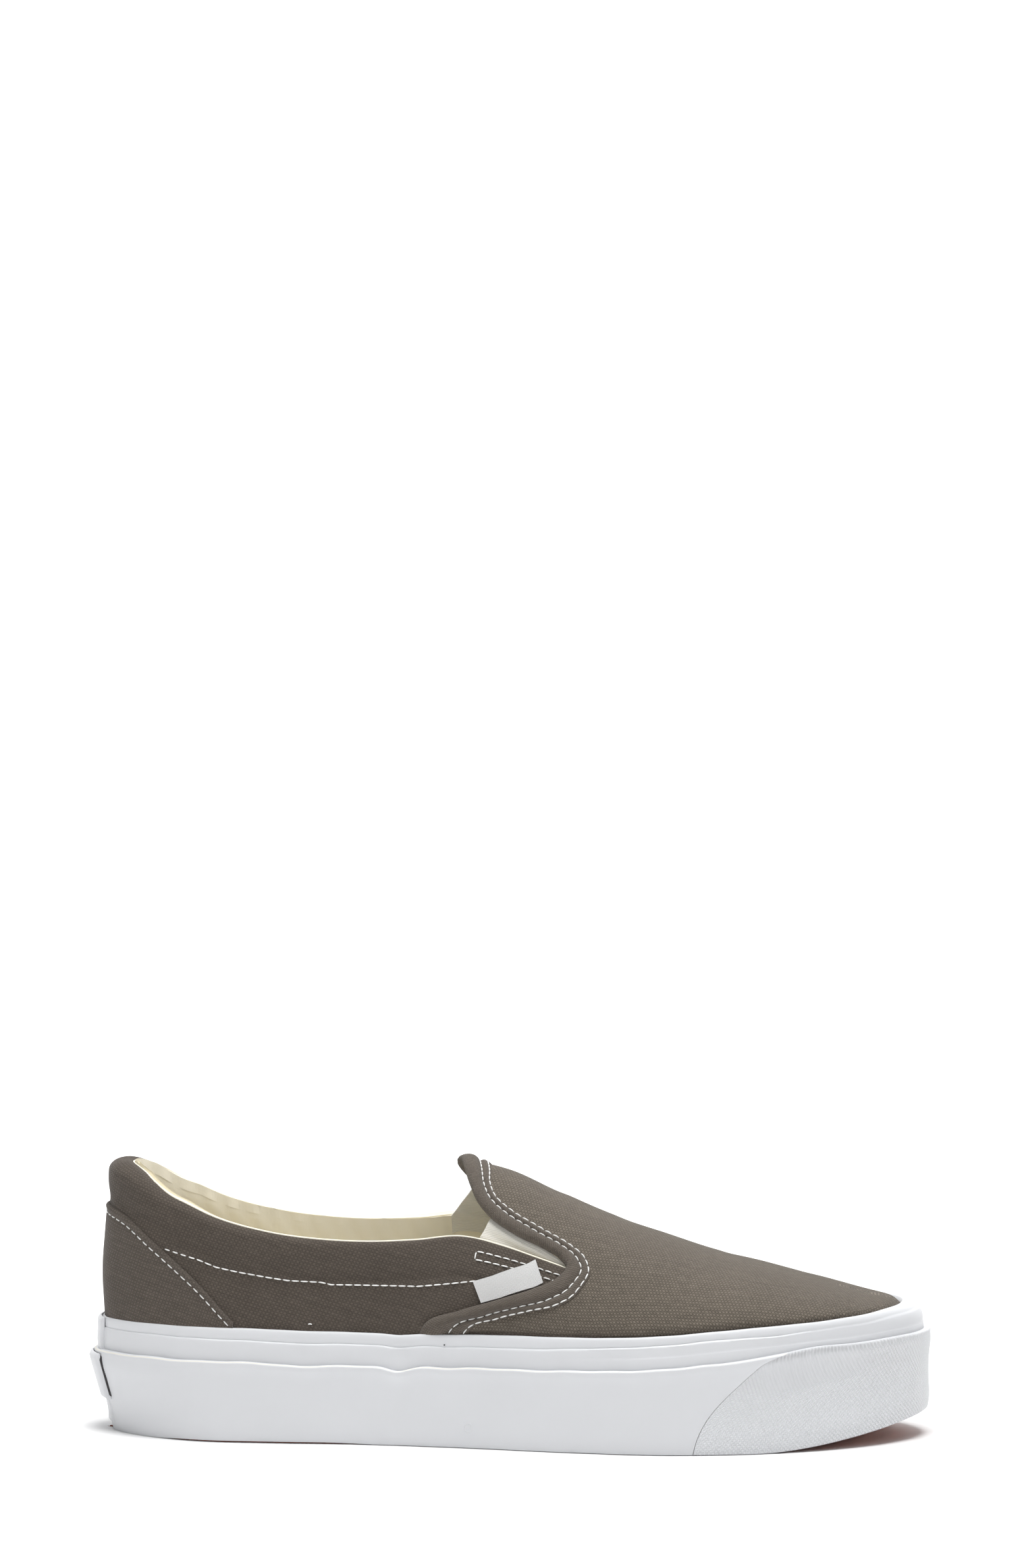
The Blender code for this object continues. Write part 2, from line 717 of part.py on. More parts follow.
def make_tab(material, collection):
    """The small woven tab on the outer quarter, along the vamp's rear edge."""
    along = np.linspace(TAB_REAR, TAB_FRONT, TAB_COLUMNS)
    turns = turn_at(along, -1)
    lower_rows = slice(0, np.argmax(VAMP_REAR["along"]) + 1)
    edge = np.interp(along, VAMP_REAR["along"][lower_rows], VAMP_REAR["level"][lower_rows])
    edge_height = last_surface(turns, edge)[..., 2] + 4 * GAP
    points = []
    for share in (0.0, 0.5, 1.0):
        shifted = turn_at(along - TAB_LEAN * share, -1)
        level = level_at(shifted, edge_height + share * TAB_WIDTH)
        points.append(offset_surface(shifted, level, GAP))
    return sheet("side_tab", np.stack(points, axis=1)[::-1], TAB_THICK, material, collection)


def make_outsole(material, collection, cutters):
    """The rubber bottom: a lip under the side bands, a seat for the upper and the footbed."""
    turns = ring_turns()
    floor = spring(turns)
    lip = GAP + STRIP_THICK + GAP + BAND_THICK - LIP_SETBACK
    bed = -QUARTER_WALL - GAP
    steps = [(0.0, lip), (LIP_HEIGHT, lip), (LIP_HEIGHT, 0.0), (WALL_SEAT, 0.0),
             (WALL_SEAT, bed), (FOOTBED_HEIGHT, bed)]
    rings = [offset_surface(turns, level_at(turns, floor + height), distance) for height, distance in steps]
    for ring, (height, _) in zip(rings, steps):
        ring[:, 2] = floor + height
    outsole = slab("outsole", rings, material, collection)
    cut = outsole.modifiers.new("grooves", "BOOLEAN")
    cut.operation = "DIFFERENCE"
    cut.solver = "EXACT"
    cut.object = make_grooves(material, cutters)
    return outsole


def make_grooves(material, cutters):
    """Cross grooves in the flat parts of the heel and the forefoot, as one cutter."""
    count = int((GROOVE_LAST - GROOVE_FIRST) * LAST_LENGTH / GROOVE_PITCH)
    places = GROOVE_FIRST + np.arange(count + 1) * GROOVE_PITCH / LAST_LENGTH
    edit = bmesh.new()
    for along in places[(places < WAIST_REAR) | (places > WAIST_FRONT)]:
        outer = outline_at(turn_at(along, -1))[1] * BALL_WIDTH + GROOVE_MARGIN
        inner = outline_at(turn_at(along, 1))[1] * BALL_WIDTH - GROOVE_MARGIN
        box = bmesh.ops.create_cube(edit, size=1.0)["verts"]
        bmesh.ops.scale(edit, verts=box, vec=(GROOVE_WIDTH, inner - outer, 2 * GROOVE_DEPTH))
        place = ((along - 0.5) * LAST_LENGTH, 0.5 * (inner + outer), 0.0)
        bmesh.ops.translate(edit, verts=box, vec=place)
    mesh = bpy.data.meshes.new("grooves")
    edit.to_mesh(mesh)
    edit.free()
    mesh.materials.append(material)
    grooves = bpy.data.objects.new("grooves", mesh)
    grooves.hide_render = True
    grooves.display_type = "WIRE"
    cutters.objects.link(grooves)
    return grooves


def make_insole(material, collection):
    """The footbed, slightly dished, inside the upper's wall."""
    turns = ring_turns()
    floor = spring(turns) + FOOTBED_HEIGHT + GAP
    edge = -QUARTER_WALL - GAP
    steps = [(0.0, edge), (INSOLE_THICK, edge), (INSOLE_THICK - INSOLE_DISH, edge - INSOLE_RIM)]
    rings = []
    for height, distance in steps:
        ring = offset_surface(turns, level_at(turns, floor), distance)
        ring[:, 2] = floor + height
        rings.append(ring)
    return slab("insole", rings, material, collection)


def make_strip(material, collection):
    """The inner white strip round the whole shoe, thinner above the line under its edge."""
    turns = ring_turns()
    line, top = side_height(turns, "line"), side_height(turns, "top")
    rows = [(side_row(turns, share), STRIP_THICK) for share in (0.0, *WALL_ROWS)]
    rows += [(line - 2 * GAP, STRIP_THICK), (line, STRIP_LIP), (top - 2 * GAP, STRIP_LIP),
             (top, 0.6 * STRIP_LIP)]
    outer, inner = [], []
    for height, thickness in rows:
        level = level_at(turns, height)
        inner.append(offset_surface(turns, level, GAP))
        outer.append(offset_surface(turns, level, GAP + thickness))
    return shell("foxing_strip", np.stack(outer, axis=1), np.stack(inner, axis=1), material,
                 collection, wrap=True)


def band_offset(bulge):
    """Offset of the band's outer face from the last surface."""
    return 2 * GAP + STRIP_THICK + BAND_THICK * bulge


def band_shell(name, turns, material, collection):
    """A length of outer band; turns holds a column of turns for each row of its profile."""
    level = level_at(turns, side_row(turns, BAND_PROFILE["height"]))
    outer = offset_surface(turns, level, band_offset(BAND_PROFILE["bulge"]))
    inner = offset_surface(turns, level, 2 * GAP + STRIP_THICK)
    return shell(name, outer, inner, material, collection)


def bumper_ends():
    """The turn of the bumper's rear edge for each row of the band's profile."""
    along = read(BUMPER_EDGE, "along", BAND_PROFILE["height"], "height")
    return turn_at(along, 1)


def slanted_columns(ring, start, end):
    """Columns along a ring between two slanted ends, one turn for each row of the profile."""
    ramp = np.linspace(0.0, 1.0, END_COLUMNS, endpoint=False)[:, None]
    head = start + ramp * (ring[0] - start)
    tail = end + ramp * (ring[-1] - end)
    body = np.repeat(ring[:, None], len(start), axis=1)
    return np.concatenate([head, body, tail[::-1]])


def make_band(material, collection):
    """The wide band from the bumper round the heel and back to the bumper."""
    ends = bumper_ends() - GAP / LAST_LENGTH
    ring = ring_turns()
    ring = ring[np.abs(ring) < ends.min() - END_SPACE]
    return band_shell("foxing_band", slanted_columns(ring, -ends, ends), material, collection)


def make_bumper(material, collection):
    """The toe bumper between the slanted ends of the band."""
    ends = bumper_ends()
    ring = np.sort(ring_turns() % 2)
    ring = ring[np.abs(ring - 1) < 1 - ends.max() - END_SPACE]
    return band_shell("toe_bumper", slanted_columns(ring, ends, 2 - ends), material, collection)


def heel_turns(half_width):
    """Columns over the middle of the heel's back, half_width either way."""
    perimeter_half = 0.5 * np.hypot(np.diff(OUTLINE_ALONG) * LAST_LENGTH,
                                    np.diff(OUTLINE_ACROSS) * BALL_WIDTH).sum()
    return np.linspace(-1, 1, HEEL_COLUMNS) * half_width / perimeter_half


def make_heel_strip(material, collection):
    """The strip over the joint at the back of the heel, above the patch."""
    turns = heel_turns(HEEL_STRIP_HALF)
    low = side_height(turns, "band") + GAP
    top = side_height(turns, "top")
    points = [offset_surface(turns, level_at(turns, low + share * (top - low)), 2 * GAP + STRIP_THICK)
              for share in (0.0, 0.5, 1.0)]
    return sheet("heel_strip", np.stack(points, axis=1), HEEL_STRIP_THICK, material, collection)


def make_patch(material, collection):
    """The bare plate at the back of the heel, on the band."""
    turns = heel_turns(PATCH_HALF)
    top = side_height(turns, "band") - 2 * GAP
    points = [offset_surface(turns, level_at(turns, PATCH_BOTTOM + share * (top - PATCH_BOTTOM)),
                             band_offset(1.0) + GAP) for share in (0.0, 0.33, 0.67, 1.0)]
    return sheet("heel_patch", np.stack(points, axis=1), PATCH_THICK, material, collection)


def main():
    """Clear the scene and build every piece."""
    for old in list(bpy.data.objects):
        bpy.data.objects.remove(old)
    shoe = bpy.data.collections.new("slip_on_sneaker")
    cutters = bpy.data.collections.new("cutters")
    bpy.context.scene.collection.children.link(shoe)
    bpy.context.scene.collection.children.link(cutters)

    canvas = new_material("canvas", (0.095, 0.078, 0.063), 0.9)
    white_rubber = new_material("white_rubber", (0.68, 0.69, 0.70), 0.5)
    gum_rubber = new_material("gum_rubber", (0.30, 0.09, 0.05), 0.6)
    elastic = new_material("elastic", (0.55, 0.52, 0.45), 0.85)
    lining = new_material("lining", (0.57, 0.52, 0.39), 0.8)

    make_outsole(gum_rubber, shoe, cutters)
    make_insole(lining, shoe)
    make_strip(white_rubber, shoe)
    make_band(white_rubber, shoe)
    make_bumper(white_rubber, shoe)
    make_heel_strip(white_rubber, shoe)
    make_patch(white_rubber, shoe)
    make_upper(canvas, shoe, cutters)
    make_binding(canvas, shoe)
    make_counter(canvas, shoe)
    make_gore("gore_lateral", -1, elastic, shoe)
    make_gore("gore_medial", 1, elastic, shoe)
    make_tab(elastic, shoe)


main()
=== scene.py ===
"""Slip-on sneaker, right shoe: the dressed model and its studio, laid out as an add-on.

The toe points along +X, the outer side of the foot along -Y, and the floor is z = 0. Every
fabric and rubber piece is an offset of one last surface S(turn, level). "turn" goes once
round the shoe, from the toe tip by the outer side (negative) to the heel (0) and back.
"level" goes up a section: -1 underside, 0 top of the upright wall, 1 crest line.
"""

import bpy
import numpy as np
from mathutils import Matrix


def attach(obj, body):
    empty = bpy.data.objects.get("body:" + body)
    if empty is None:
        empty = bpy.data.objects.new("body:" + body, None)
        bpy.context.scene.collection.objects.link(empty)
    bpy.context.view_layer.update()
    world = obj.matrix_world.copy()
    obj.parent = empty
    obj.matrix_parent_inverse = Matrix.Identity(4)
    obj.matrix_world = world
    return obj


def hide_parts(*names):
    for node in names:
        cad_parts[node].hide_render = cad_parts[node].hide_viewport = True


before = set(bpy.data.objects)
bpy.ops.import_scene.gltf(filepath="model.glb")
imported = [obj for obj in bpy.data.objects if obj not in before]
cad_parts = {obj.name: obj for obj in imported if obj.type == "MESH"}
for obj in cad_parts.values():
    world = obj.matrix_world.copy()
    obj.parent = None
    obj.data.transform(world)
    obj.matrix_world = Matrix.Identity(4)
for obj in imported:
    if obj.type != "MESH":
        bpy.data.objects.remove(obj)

bl_info = {
    "name": "Slip-on Sneaker",
    "version": (1, 0, 0),
    "blender": (4, 5, 0),
    "location": "View3D > Sidebar > Sneaker",
    "description": "Canvas slip-on shoe with padded collar, elastic gores and rubber side bands",
    "category": "Add Mesh",
}

# Sizes of the last, in metres
LAST_LENGTH = 0.2831
BALL_WIDTH = 0.095
INSTEP_HEIGHT = 0.096
HEEL_HEIGHT = 0.0965
SIDE_HEIGHT = 0.040
TOE_SPRING = 0.0093
HEEL_TUCK = 0.006
GAP = 0.0003

# Places on the last, as shares of its length
SPRING_START = 0.805
SPRING_CURVE = 1.5
HEEL_TUCK_REACH = 0.170
SPINE_HEEL = 0.154
SPINE_HEEL_FADE = 0.050
SPINE_TOE = 0.833
SPINE_TOE_FADE = 0.078
QUARTER_END = 0.613
FLAP_BULGE = 0.014
GORE_FRONT = 0.573
TAB_REAR = 0.468
TAB_FRONT = 0.543
TAB_LEAN = 0.010

# Sizes of the upper
QUARTER_WALL = 0.003
COLLAR_DEPTH = 0.013
COLLAR_PAD = 0.0065
COLLAR_LIFT = 0.0018
COLLAR_LIFT_TURN = 0.2
VAMP_WALL = 0.0018
VAMP_STEP = 0.001
VAMP_SINK = 0.0006
VAMP_RISE = 0.005
VAMP_RISE_START = 0.001
CANVAS_THICK = 0.0009
PIPING_RADIUS = 0.00038
TAB_WIDTH = 0.0070

# Sizes of the sole
STRIP_THICK = 0.0016
STRIP_LIP = 0.0011
STRIP_ROUND = 0.0007
BAND_THICK = 0.0024
BAND_FOOT = 0.00025
BUMPER_HOLLOW = 0.0007
LIP_HEIGHT = 0.0012
WALL_SEAT = 0.008
FOOTBED_HEIGHT = 0.013
INSOLE_THICK = 0.004
INSOLE_DISH = 0.0015
HEEL_STRIP_HALF = 0.009
PATCH_HALF = 0.011
PATCH_BOTTOM = 0.0125
GROOVE_PITCH = 0.0105
GROOVE_DEPTH = 0.0011
TREAD_DIAMOND = 0.0042

# Halvings of the arc in level_at
HALVINGS = 22

# The photograph: its height in pixels, its scale at the shoe, and the row of the shoe's middle
PHOTO_HEIGHT = 2380.0
PIXELS_PER_METRE = 4353.0
SHOE_PIXEL_ROW = 1977.7


def table(columns, rows):
    """A table of rows as named columns."""
    values = np.array(rows, dtype=float)
    return {name: values[:, i] for i, name in enumerate(columns.split())}


# Outline of the last, once round; along is a share of LAST_LENGTH, across of BALL_WIDTH.
OUTLINE = table("along across", [
    (1.000, 0.054), (0.990, -0.073), (0.956, -0.204), (0.891, -0.346), (0.801, -0.455),
    (0.698, -0.500), (0.578, -0.455), (0.455, -0.372), (0.327, -0.311), (0.204, -0.294),
    (0.101, -0.257), (0.036, -0.162), (0.0055, -0.052), (0.000, 0.033), (0.0055, 0.117),
    (0.036, 0.227), (0.101, 0.319), (0.204, 0.348), (0.327, 0.340), (0.433, 0.359),
    (0.553, 0.436), (0.674, 0.500), (0.769, 0.492), (0.861, 0.433), (0.931, 0.333),
    (0.985, 0.185),
])

# Sections of the last: crest height and place, exponent of the arc, top of the upright wall.
SECTIONS = table("along ridge crest fullness wall", [
    (0.000, 1.560, 0.033, 2.40, 0.95),
    (0.108, 1.440, 0.033, 2.30, 0.95),
    (0.211, 1.300, 0.036, 2.15, 0.95),
    (0.324, 1.155, 0.045, 2.10, 0.95),
    (0.448, 0.976, 0.064, 1.95, 0.95),
    (0.504, 0.927, 0.075, 1.92, 0.95),
    (0.553, 0.858, 0.083, 1.94, 0.95),
    (0.621, 0.771, 0.085, 1.96, 0.95),
    (0.684, 0.711, 0.085, 2.00, 0.95),
    (0.748, 0.646, 0.083, 2.10, 0.97),
    (0.811, 0.598, 0.080, 2.25, 0.99),
    (0.877, 0.543, 0.075, 2.50, 1.01),
    (0.942, 0.498, 0.066, 2.90, 1.02),
    (1.000, 0.480, 0.056, 3.30, 1.00),
])

# Curve of the heel's back: height is a share of SIDE_HEIGHT, tuck of HEEL_TUCK.
HEEL_CURVE = table("height tuck", [
    (0.00, 0.96), (0.20, 0.88), (0.32, 0.70), (0.50, 0.36), (0.70, 0.02), (1.00, 0.00),
    (1.40, -0.14), (1.75, -0.06), (2.10, 0.00), (4.50, 0.00),
])

# Heights on the rubber side as shares of SIDE_HEIGHT: the canvas edge, the line under it,
# the second line round the toe, and the top of the band and bumper.
SIDE = table("along top line second band", [
    (0.000, 0.995, 0.905, 0.790, 0.720),
    (0.066, 0.995, 0.903, 0.790, 0.718),
    (0.211, 0.978, 0.873, 0.765, 0.690),
    (0.356, 0.958, 0.858, 0.750, 0.678),
    (0.515, 0.980, 0.873, 0.770, 0.700),
    (0.604, 0.985, 0.898, 0.802, 0.710),
    (0.691, 1.015, 0.940, 0.843, 0.745),
    (0.762, 1.052, 0.983, 0.890, 0.790),
    (0.822, 1.080, 1.005, 0.922, 0.850),
    (0.868, 1.090, 1.030, 0.945, 0.900),
    (0.910, 1.102, 1.045, 0.955, 0.905),
    (0.977, 1.128, 1.075, 0.985, 0.925),
    (1.000, 1.135, 1.078, 0.985, 0.925),
])

# Small waves of the band's top edge and the strip, from hand lay-up. rise is in millimetres.
WAVES = table("along rise width", [
    (0.245, -0.35, 0.022),
    (0.366, -1.25, 0.016),
    (0.402, 0.45, 0.018),
    (0.620, -0.25, 0.030),
])

# Profile of band and bumper: height a share of their own height, bulge of BAND_THICK.
BAND_PROFILE = table("height bulge", [
    (0.00, 0.62), (0.12, 0.86), (0.36, 0.98), (0.66, 1.00), (0.93, 0.96), (1.00, 0.76),
])

# The bumper's rear edge.
BUMPER_EDGE = table("height along", [
    (0.00, 0.7220), (0.11, 0.7245), (0.38, 0.7375), (0.59, 0.7560), (0.75, 0.7756),
    (0.86, 0.7910), (0.945, 0.8080), (1.00, 0.8320),
])

# Top edge of the collar as a share of HEEL_HEIGHT, and how far it is padded.
COLLAR = table("along top pad", [
    (0.000, 0.985, 1.00), (0.008, 0.981, 1.00), (0.036, 0.950, 0.97), (0.055, 0.920, 0.94),
    (0.080, 0.880, 0.90), (0.101, 0.856, 0.86), (0.144, 0.803, 0.74), (0.204, 0.756, 0.60),
    (0.267, 0.731, 0.50), (0.327, 0.724, 0.44), (0.384, 0.732, 0.36), (0.444, 0.746, 0.12),
    (0.494, 0.715, 0.00), (0.532, 0.681, 0.00), (0.569, 0.646, 0.00), (0.621, 0.590, 0.00),
])

# Collar wall: below is a share of COLLAR_DEPTH under the rim, swell is in millimetres and
# fill a share of COLLAR_PAD.
COLLAR_WALL = table("below swell fill", [
    (0.00, 1.25, 0.86), (0.20, 1.45, 0.96), (0.45, 1.35, 1.00), (0.75, 0.80, 0.90),
    (1.00, 0.00, 0.66), (1.60, 0.00, 0.40), (3.00, 0.00, 0.12), (5.00, 0.00, 0.00),
])

# The vamp's rear edge from the sole by the V's corner to the flap's tip, and the front
# border of the bound strip beside it.
VAMP_REAR = table("along level border_along border_level", [
    (0.363, -0.765, 0.416, -0.765),
    (0.392, 0.017, 0.449, 0.015),
    (0.441, 0.107, 0.491, 0.088),
    (0.491, 0.175, 0.529, 0.136),
    (0.532, 0.248, 0.564, 0.188),
    (0.559, 0.322, 0.585, 0.270),
    (0.570, 0.394, 0.598, 0.387),
    (0.562, 0.438, 0.594, 0.462),
    (0.541, 0.468, 0.576, 0.520),
    (0.508, 0.487, 0.539, 0.562),
    (0.479, 0.536, 0.506, 0.594),
    (0.460, 0.621, 0.483, 0.658),
    (0.452, 0.704, 0.476, 0.732),
    (0.444, 0.840, 0.474, 0.862),
    (0.439, 1.000, 0.471, 1.000),
])

# Section of the bound strip. share goes from the rear edge (0) to the front border (1), and
# rise is the distance outside the vamp's face in millimetres. The strip wraps the edge.
STRIP_SECTION = table("share rise", [
    (1.02, -0.30), (1.03, 0.25), (0.995, 0.48), (0.95, 0.42), (0.90, 0.82), (0.82, 1.05),
    (0.74, 0.95), (0.68, 0.52), (0.64, 0.20), (0.60, 0.52), (0.54, 1.05), (0.44, 1.50),
    (0.32, 1.68), (0.20, 1.48), (0.09, 0.95), (0.02, 0.12), (0.00, -0.85), (0.03, -1.75),
    (0.10, -2.30), (0.22, -2.60), (0.40, -2.55), (0.52, -2.20), (0.53, -1.70), (0.30, -1.55),
    (0.24, -0.60), (0.60, -0.35),
])

# Top edge of the heel counter as a share of HEEL_HEIGHT.
COUNTER = table("along top", [
    (0.000, 0.822), (0.030, 0.785), (0.060, 0.718), (0.085, 0.660), (0.125, 0.555),
    (0.150, 0.475), (0.165, 0.428),
])

# Rows of stitches on the quarters, outer side: along and height, both in shares.
COLLAR_STITCH = table("along height", [
    (0.078, 0.684), (0.122, 0.649), (0.144, 0.624), (0.170, 0.608), (0.205, 0.591),
    (0.232, 0.580), (0.272, 0.575), (0.284, 0.567), (0.390, 0.567), (0.428, 0.579),
    (0.463, 0.592), (0.499, 0.594),
])

# Soft creases: both ends (along, height above the floor in mm), half width and depth in mm.
QUARTER_CREASES = table("along_a height_a along_b height_b width depth", [
    (0.120, 60.0, 0.300, 50.0, 7.0, 0.35),
    (0.300, 56.5, 0.460, 58.5, 4.5, 0.30),
    (0.330, 47.0, 0.450, 52.0, 6.0, 0.40),
    (0.210, 44.0, 0.330, 42.0, 6.0, -0.25),
    (0.050, 60.0, 0.110, 52.0, 7.0, 0.25),
])
VAMP_CREASES = table("along_a height_a along_b height_b width depth", [
    (0.605, 60.0, 0.700, 47.0, 8.0, 0.45),
    (0.640, 74.0, 0.760, 52.0, 9.0, 0.40),
    (0.760, 60.0, 0.860, 46.0, 8.0, 0.30),
    (0.560, 80.0, 0.640, 62.0, 8.0, -0.35),
    (0.480, 46.0, 0.600, 43.0, 5.0, 0.30),
])
LINING_CREASES = table("along_a height_a along_b height_b width depth", [
    (0.070, 86.0, 0.115, 66.0, 3.0, 0.30),
    (0.100, 80.0, 0.140, 62.0, 2.6, 0.26),
    (0.128, 78.0, 0.170, 60.0, 3.2, 0.28),
    (0.158, 74.0, 0.200, 60.0, 3.0, 0.22),
    (0.190, 73.0, 0.270, 62.0, 4.0, 0.24),
    (0.250, 70.0, 0.350, 62.0, 4.5, 0.22),
    (0.330, 70.0, 0.400, 62.0, 4.5, 0.20),
])


# The last surface

def smooth(at, xs, ys):
    """Cubic curve through the points (xs, ys), with slopes from their neighbours."""
    slopes = np.gradient(ys, xs)
    i = np.clip(np.searchsorted(xs, at, side="right") - 1, 0, len(xs) - 2)
    step = xs[i + 1] - xs[i]
    t = np.clip((at - xs[i]) / step, 0.0, 1.0)
    start = (1 + 2 * t) * (1 - t) ** 2 * ys[i] + t * (1 - t) ** 2 * step * slopes[i]
    end = t * t * (3 - 2 * t) * ys[i + 1] + t * t * (t - 1) * step * slopes[i + 1]
    return start + end


def read(rows, column, at, key="along"):
    """A column of a table at the given places."""
    return smooth(np.asarray(at, dtype=float), rows[key], rows[column])


def ease(t):
    """0 below 0, 1 above 1, and a smooth rise between."""
    t = np.clip(t, 0.0, 1.0)
    return t * t * (3 - 2 * t)


def closed_outline():
    """Turn, along and across of many points of the closed curve through OUTLINE."""
    wrap = 3
    shares = [np.concatenate([c[-wrap:], c, c[:wrap]]) for c in OUTLINE.values()]
    chords = np.hypot(np.diff(shares[0]) * LAST_LENGTH, np.diff(shares[1]) * BALL_WIDTH)
    length = np.concatenate([[0.0], np.cumsum(chords)])
    path = np.linspace(length[wrap], length[-wrap], 12000)
    along, across = (smooth(path, length, share) for share in shares)
    steps = np.hypot(np.diff(along) * LAST_LENGTH, np.diff(across) * BALL_WIDTH)
    run = np.concatenate([[0.0], np.cumsum(steps)])
    heel = np.argmin(along)
    turn = np.where(run < run[heel], run / run[heel] - 1,
                    (run - run[heel]) / (run[-1] - run[heel]))
    return turn, along, across, run[-1]


OUTLINE_TURN, OUTLINE_ALONG, OUTLINE_ACROSS, PERIMETER = closed_outline()


def outline_at(turn):
    """Shares along and across of the outline."""
    turn = (np.asarray(turn, dtype=float) + 1) % 2 - 1
    return (np.interp(turn, OUTLINE_TURN, OUTLINE_ALONG),
            np.interp(turn, OUTLINE_TURN, OUTLINE_ACROSS))


def column_along(turn):
    """The share along at which a column reads its tables, the same on both sides."""
    return 0.5 * (outline_at(turn)[0] + outline_at(-np.asarray(turn, dtype=float))[0])


def spine_along(turn):
    """Where a column meets the crest line: level with its foot, bunched at both ends."""
    foot = column_along(turn)
    past = np.maximum(foot - SPINE_TOE, 0) / SPINE_TOE_FADE
    behind = np.maximum(SPINE_HEEL - foot, 0) / SPINE_HEEL_FADE
    toe = SPINE_TOE + SPINE_TOE_FADE * (1 - np.exp(-past))
    heel = SPINE_HEEL - SPINE_HEEL_FADE * (1 - np.exp(-behind))
    return np.where(foot > SPINE_TOE, toe, np.where(foot < SPINE_HEEL, heel, foot))


def spring(turn):
    """Height of the underside above the floor."""
    rise = np.maximum(column_along(turn) - SPRING_START, 0) / (1 - SPRING_START)
    return TOE_SPRING * rise ** SPRING_CURVE


def side_height(turn, column):
    """A height on the rubber side, from the floor."""
    return read(SIDE, column, column_along(turn)) * SIDE_HEIGHT


def grids(*values):
    """The values as arrays of one shape."""
    return np.broadcast_arrays(*(np.asarray(value, dtype=float) for value in values))


def last_surface(turn, level):
    """Points of the last. Below level 0 a wall rises from the floor; above it a point goes
    from the wall's top to the crest by out = cos^(2/n) and up = sin^(2/n) of level * 90 degrees,
    where n is the section's fullness. The heel's back is tucked in by HEEL_CURVE."""
    turn, level = grids(turn, level)
    along, across = outline_at(turn)
    spine = spine_along(turn)
    foot = column_along(turn)
    fullness = read(SECTIONS, "fullness", foot)
    wall = read(SECTIONS, "wall", foot) * SIDE_HEIGHT
    arc = np.clip(level, 0.0, 1.0) * np.pi / 2
    out = np.cos(arc) ** (2 / fullness)
    up = np.sin(arc) ** (2 / fullness)
    x_share = spine + (along - spine) * out
    crest = read(SECTIONS, "crest", spine)
    y_share = crest + (across - crest) * out
    ridge = read(SECTIONS, "ridge", x_share) * INSTEP_HEIGHT
    floor = spring(turn)
    height = np.where(level < 0, floor + (wall - floor) * (1 + level), wall + (ridge - wall) * up)
    inward_x = (spine - along) * LAST_LENGTH
    inward_y = (crest - across) * BALL_WIDTH
    reach = np.hypot(inward_x, inward_y)
    tuck = HEEL_TUCK * read(HEEL_CURVE, "tuck", height / SIDE_HEIGHT, "height")
    tuck = tuck * (1 - ease(foot / HEEL_TUCK_REACH))
    return np.stack([(x_share - 0.5) * LAST_LENGTH + tuck * inward_x / reach,
                     y_share * BALL_WIDTH + tuck * inward_y / reach, height], axis=-1)


def normal_at(turn, level):
    """Outward unit normal of the last: the cross product of its two small steps."""
    step = 2e-4
    above = np.minimum(level + step, 1.0)
    round_it = last_surface(turn + step, level) - last_surface(turn - step, level)
    up_it = last_surface(turn, above) - last_surface(turn, above - 2 * step)
    normal = np.cross(up_it, round_it)
    return normal / np.linalg.norm(normal, axis=-1, keepdims=True)


def offset_surface(turn, level, distance):
    """Points at a distance outside the last, along its normal."""
    turn, level, distance = grids(turn, level, distance)
    return last_surface(turn, level) + normal_at(turn, level) * distance[..., None]


def level_at(turn, height):
    """The level where a column reaches a height, by halving the arc again and again."""
    turn, height = grids(turn, height)
    along = outline_at(turn)[0]
    spine = spine_along(turn)
    foot = column_along(turn)
    fullness = read(SECTIONS, "fullness", foot)
    wall = read(SECTIONS, "wall", foot) * SIDE_HEIGHT
    floor = spring(turn)
    out_low, out_high = np.zeros_like(turn), np.ones_like(turn)
    for _ in range(HALVINGS):
        out = 0.5 * (out_low + out_high)
        ridge = read(SECTIONS, "ridge", spine + (along - spine) * out) * INSTEP_HEIGHT
        above = wall + (ridge - wall) * (1 - out ** fullness) ** (1 / fullness) > height
        out_low, out_high = np.where(above, out, out_low), np.where(above, out_high, out)
    on_arc = np.arccos(out ** (fullness / 2)) * 2 / np.pi
    return np.where(height < wall, (height - floor) / (wall - floor) - 1, on_arc)


def turn_at(along, side):
    """The turn of the column whose foot lies at a share along; side is -1 outer, 1 inner."""
    turns = np.linspace(0.0, 1.0, 3000)
    return side * np.interp(along, column_along(turns), turns)


def collar_top(turn):
    """Height of the collar's rim; the inner side stands a little higher."""
    lift = COLLAR_LIFT * ease(np.asarray(turn) / COLLAR_LIFT_TURN)
    return read(COLLAR, "top", column_along(turn)) * HEEL_HEIGHT + lift


def collar_pad(turn):
    """How far the collar is padded, 0 to 1."""
    return np.clip(read(COLLAR, "pad", column_along(turn)), 0.0, 1.0)


def vamp_lift(turn, level):
    """Offset of the vamp's outer face: sunk behind the rubber, a step proud above it."""
    section = np.linalg.norm(last_surface(turn, 1.0) - last_surface(turn, 0.0), axis=-1)
    climbed = (level - level_at(turn, side_height(turn, "top"))) * section
    rise = ease((climbed + VAMP_RISE_START) / VAMP_RISE)
    return VAMP_STEP * rise - VAMP_SINK * (1 - rise)


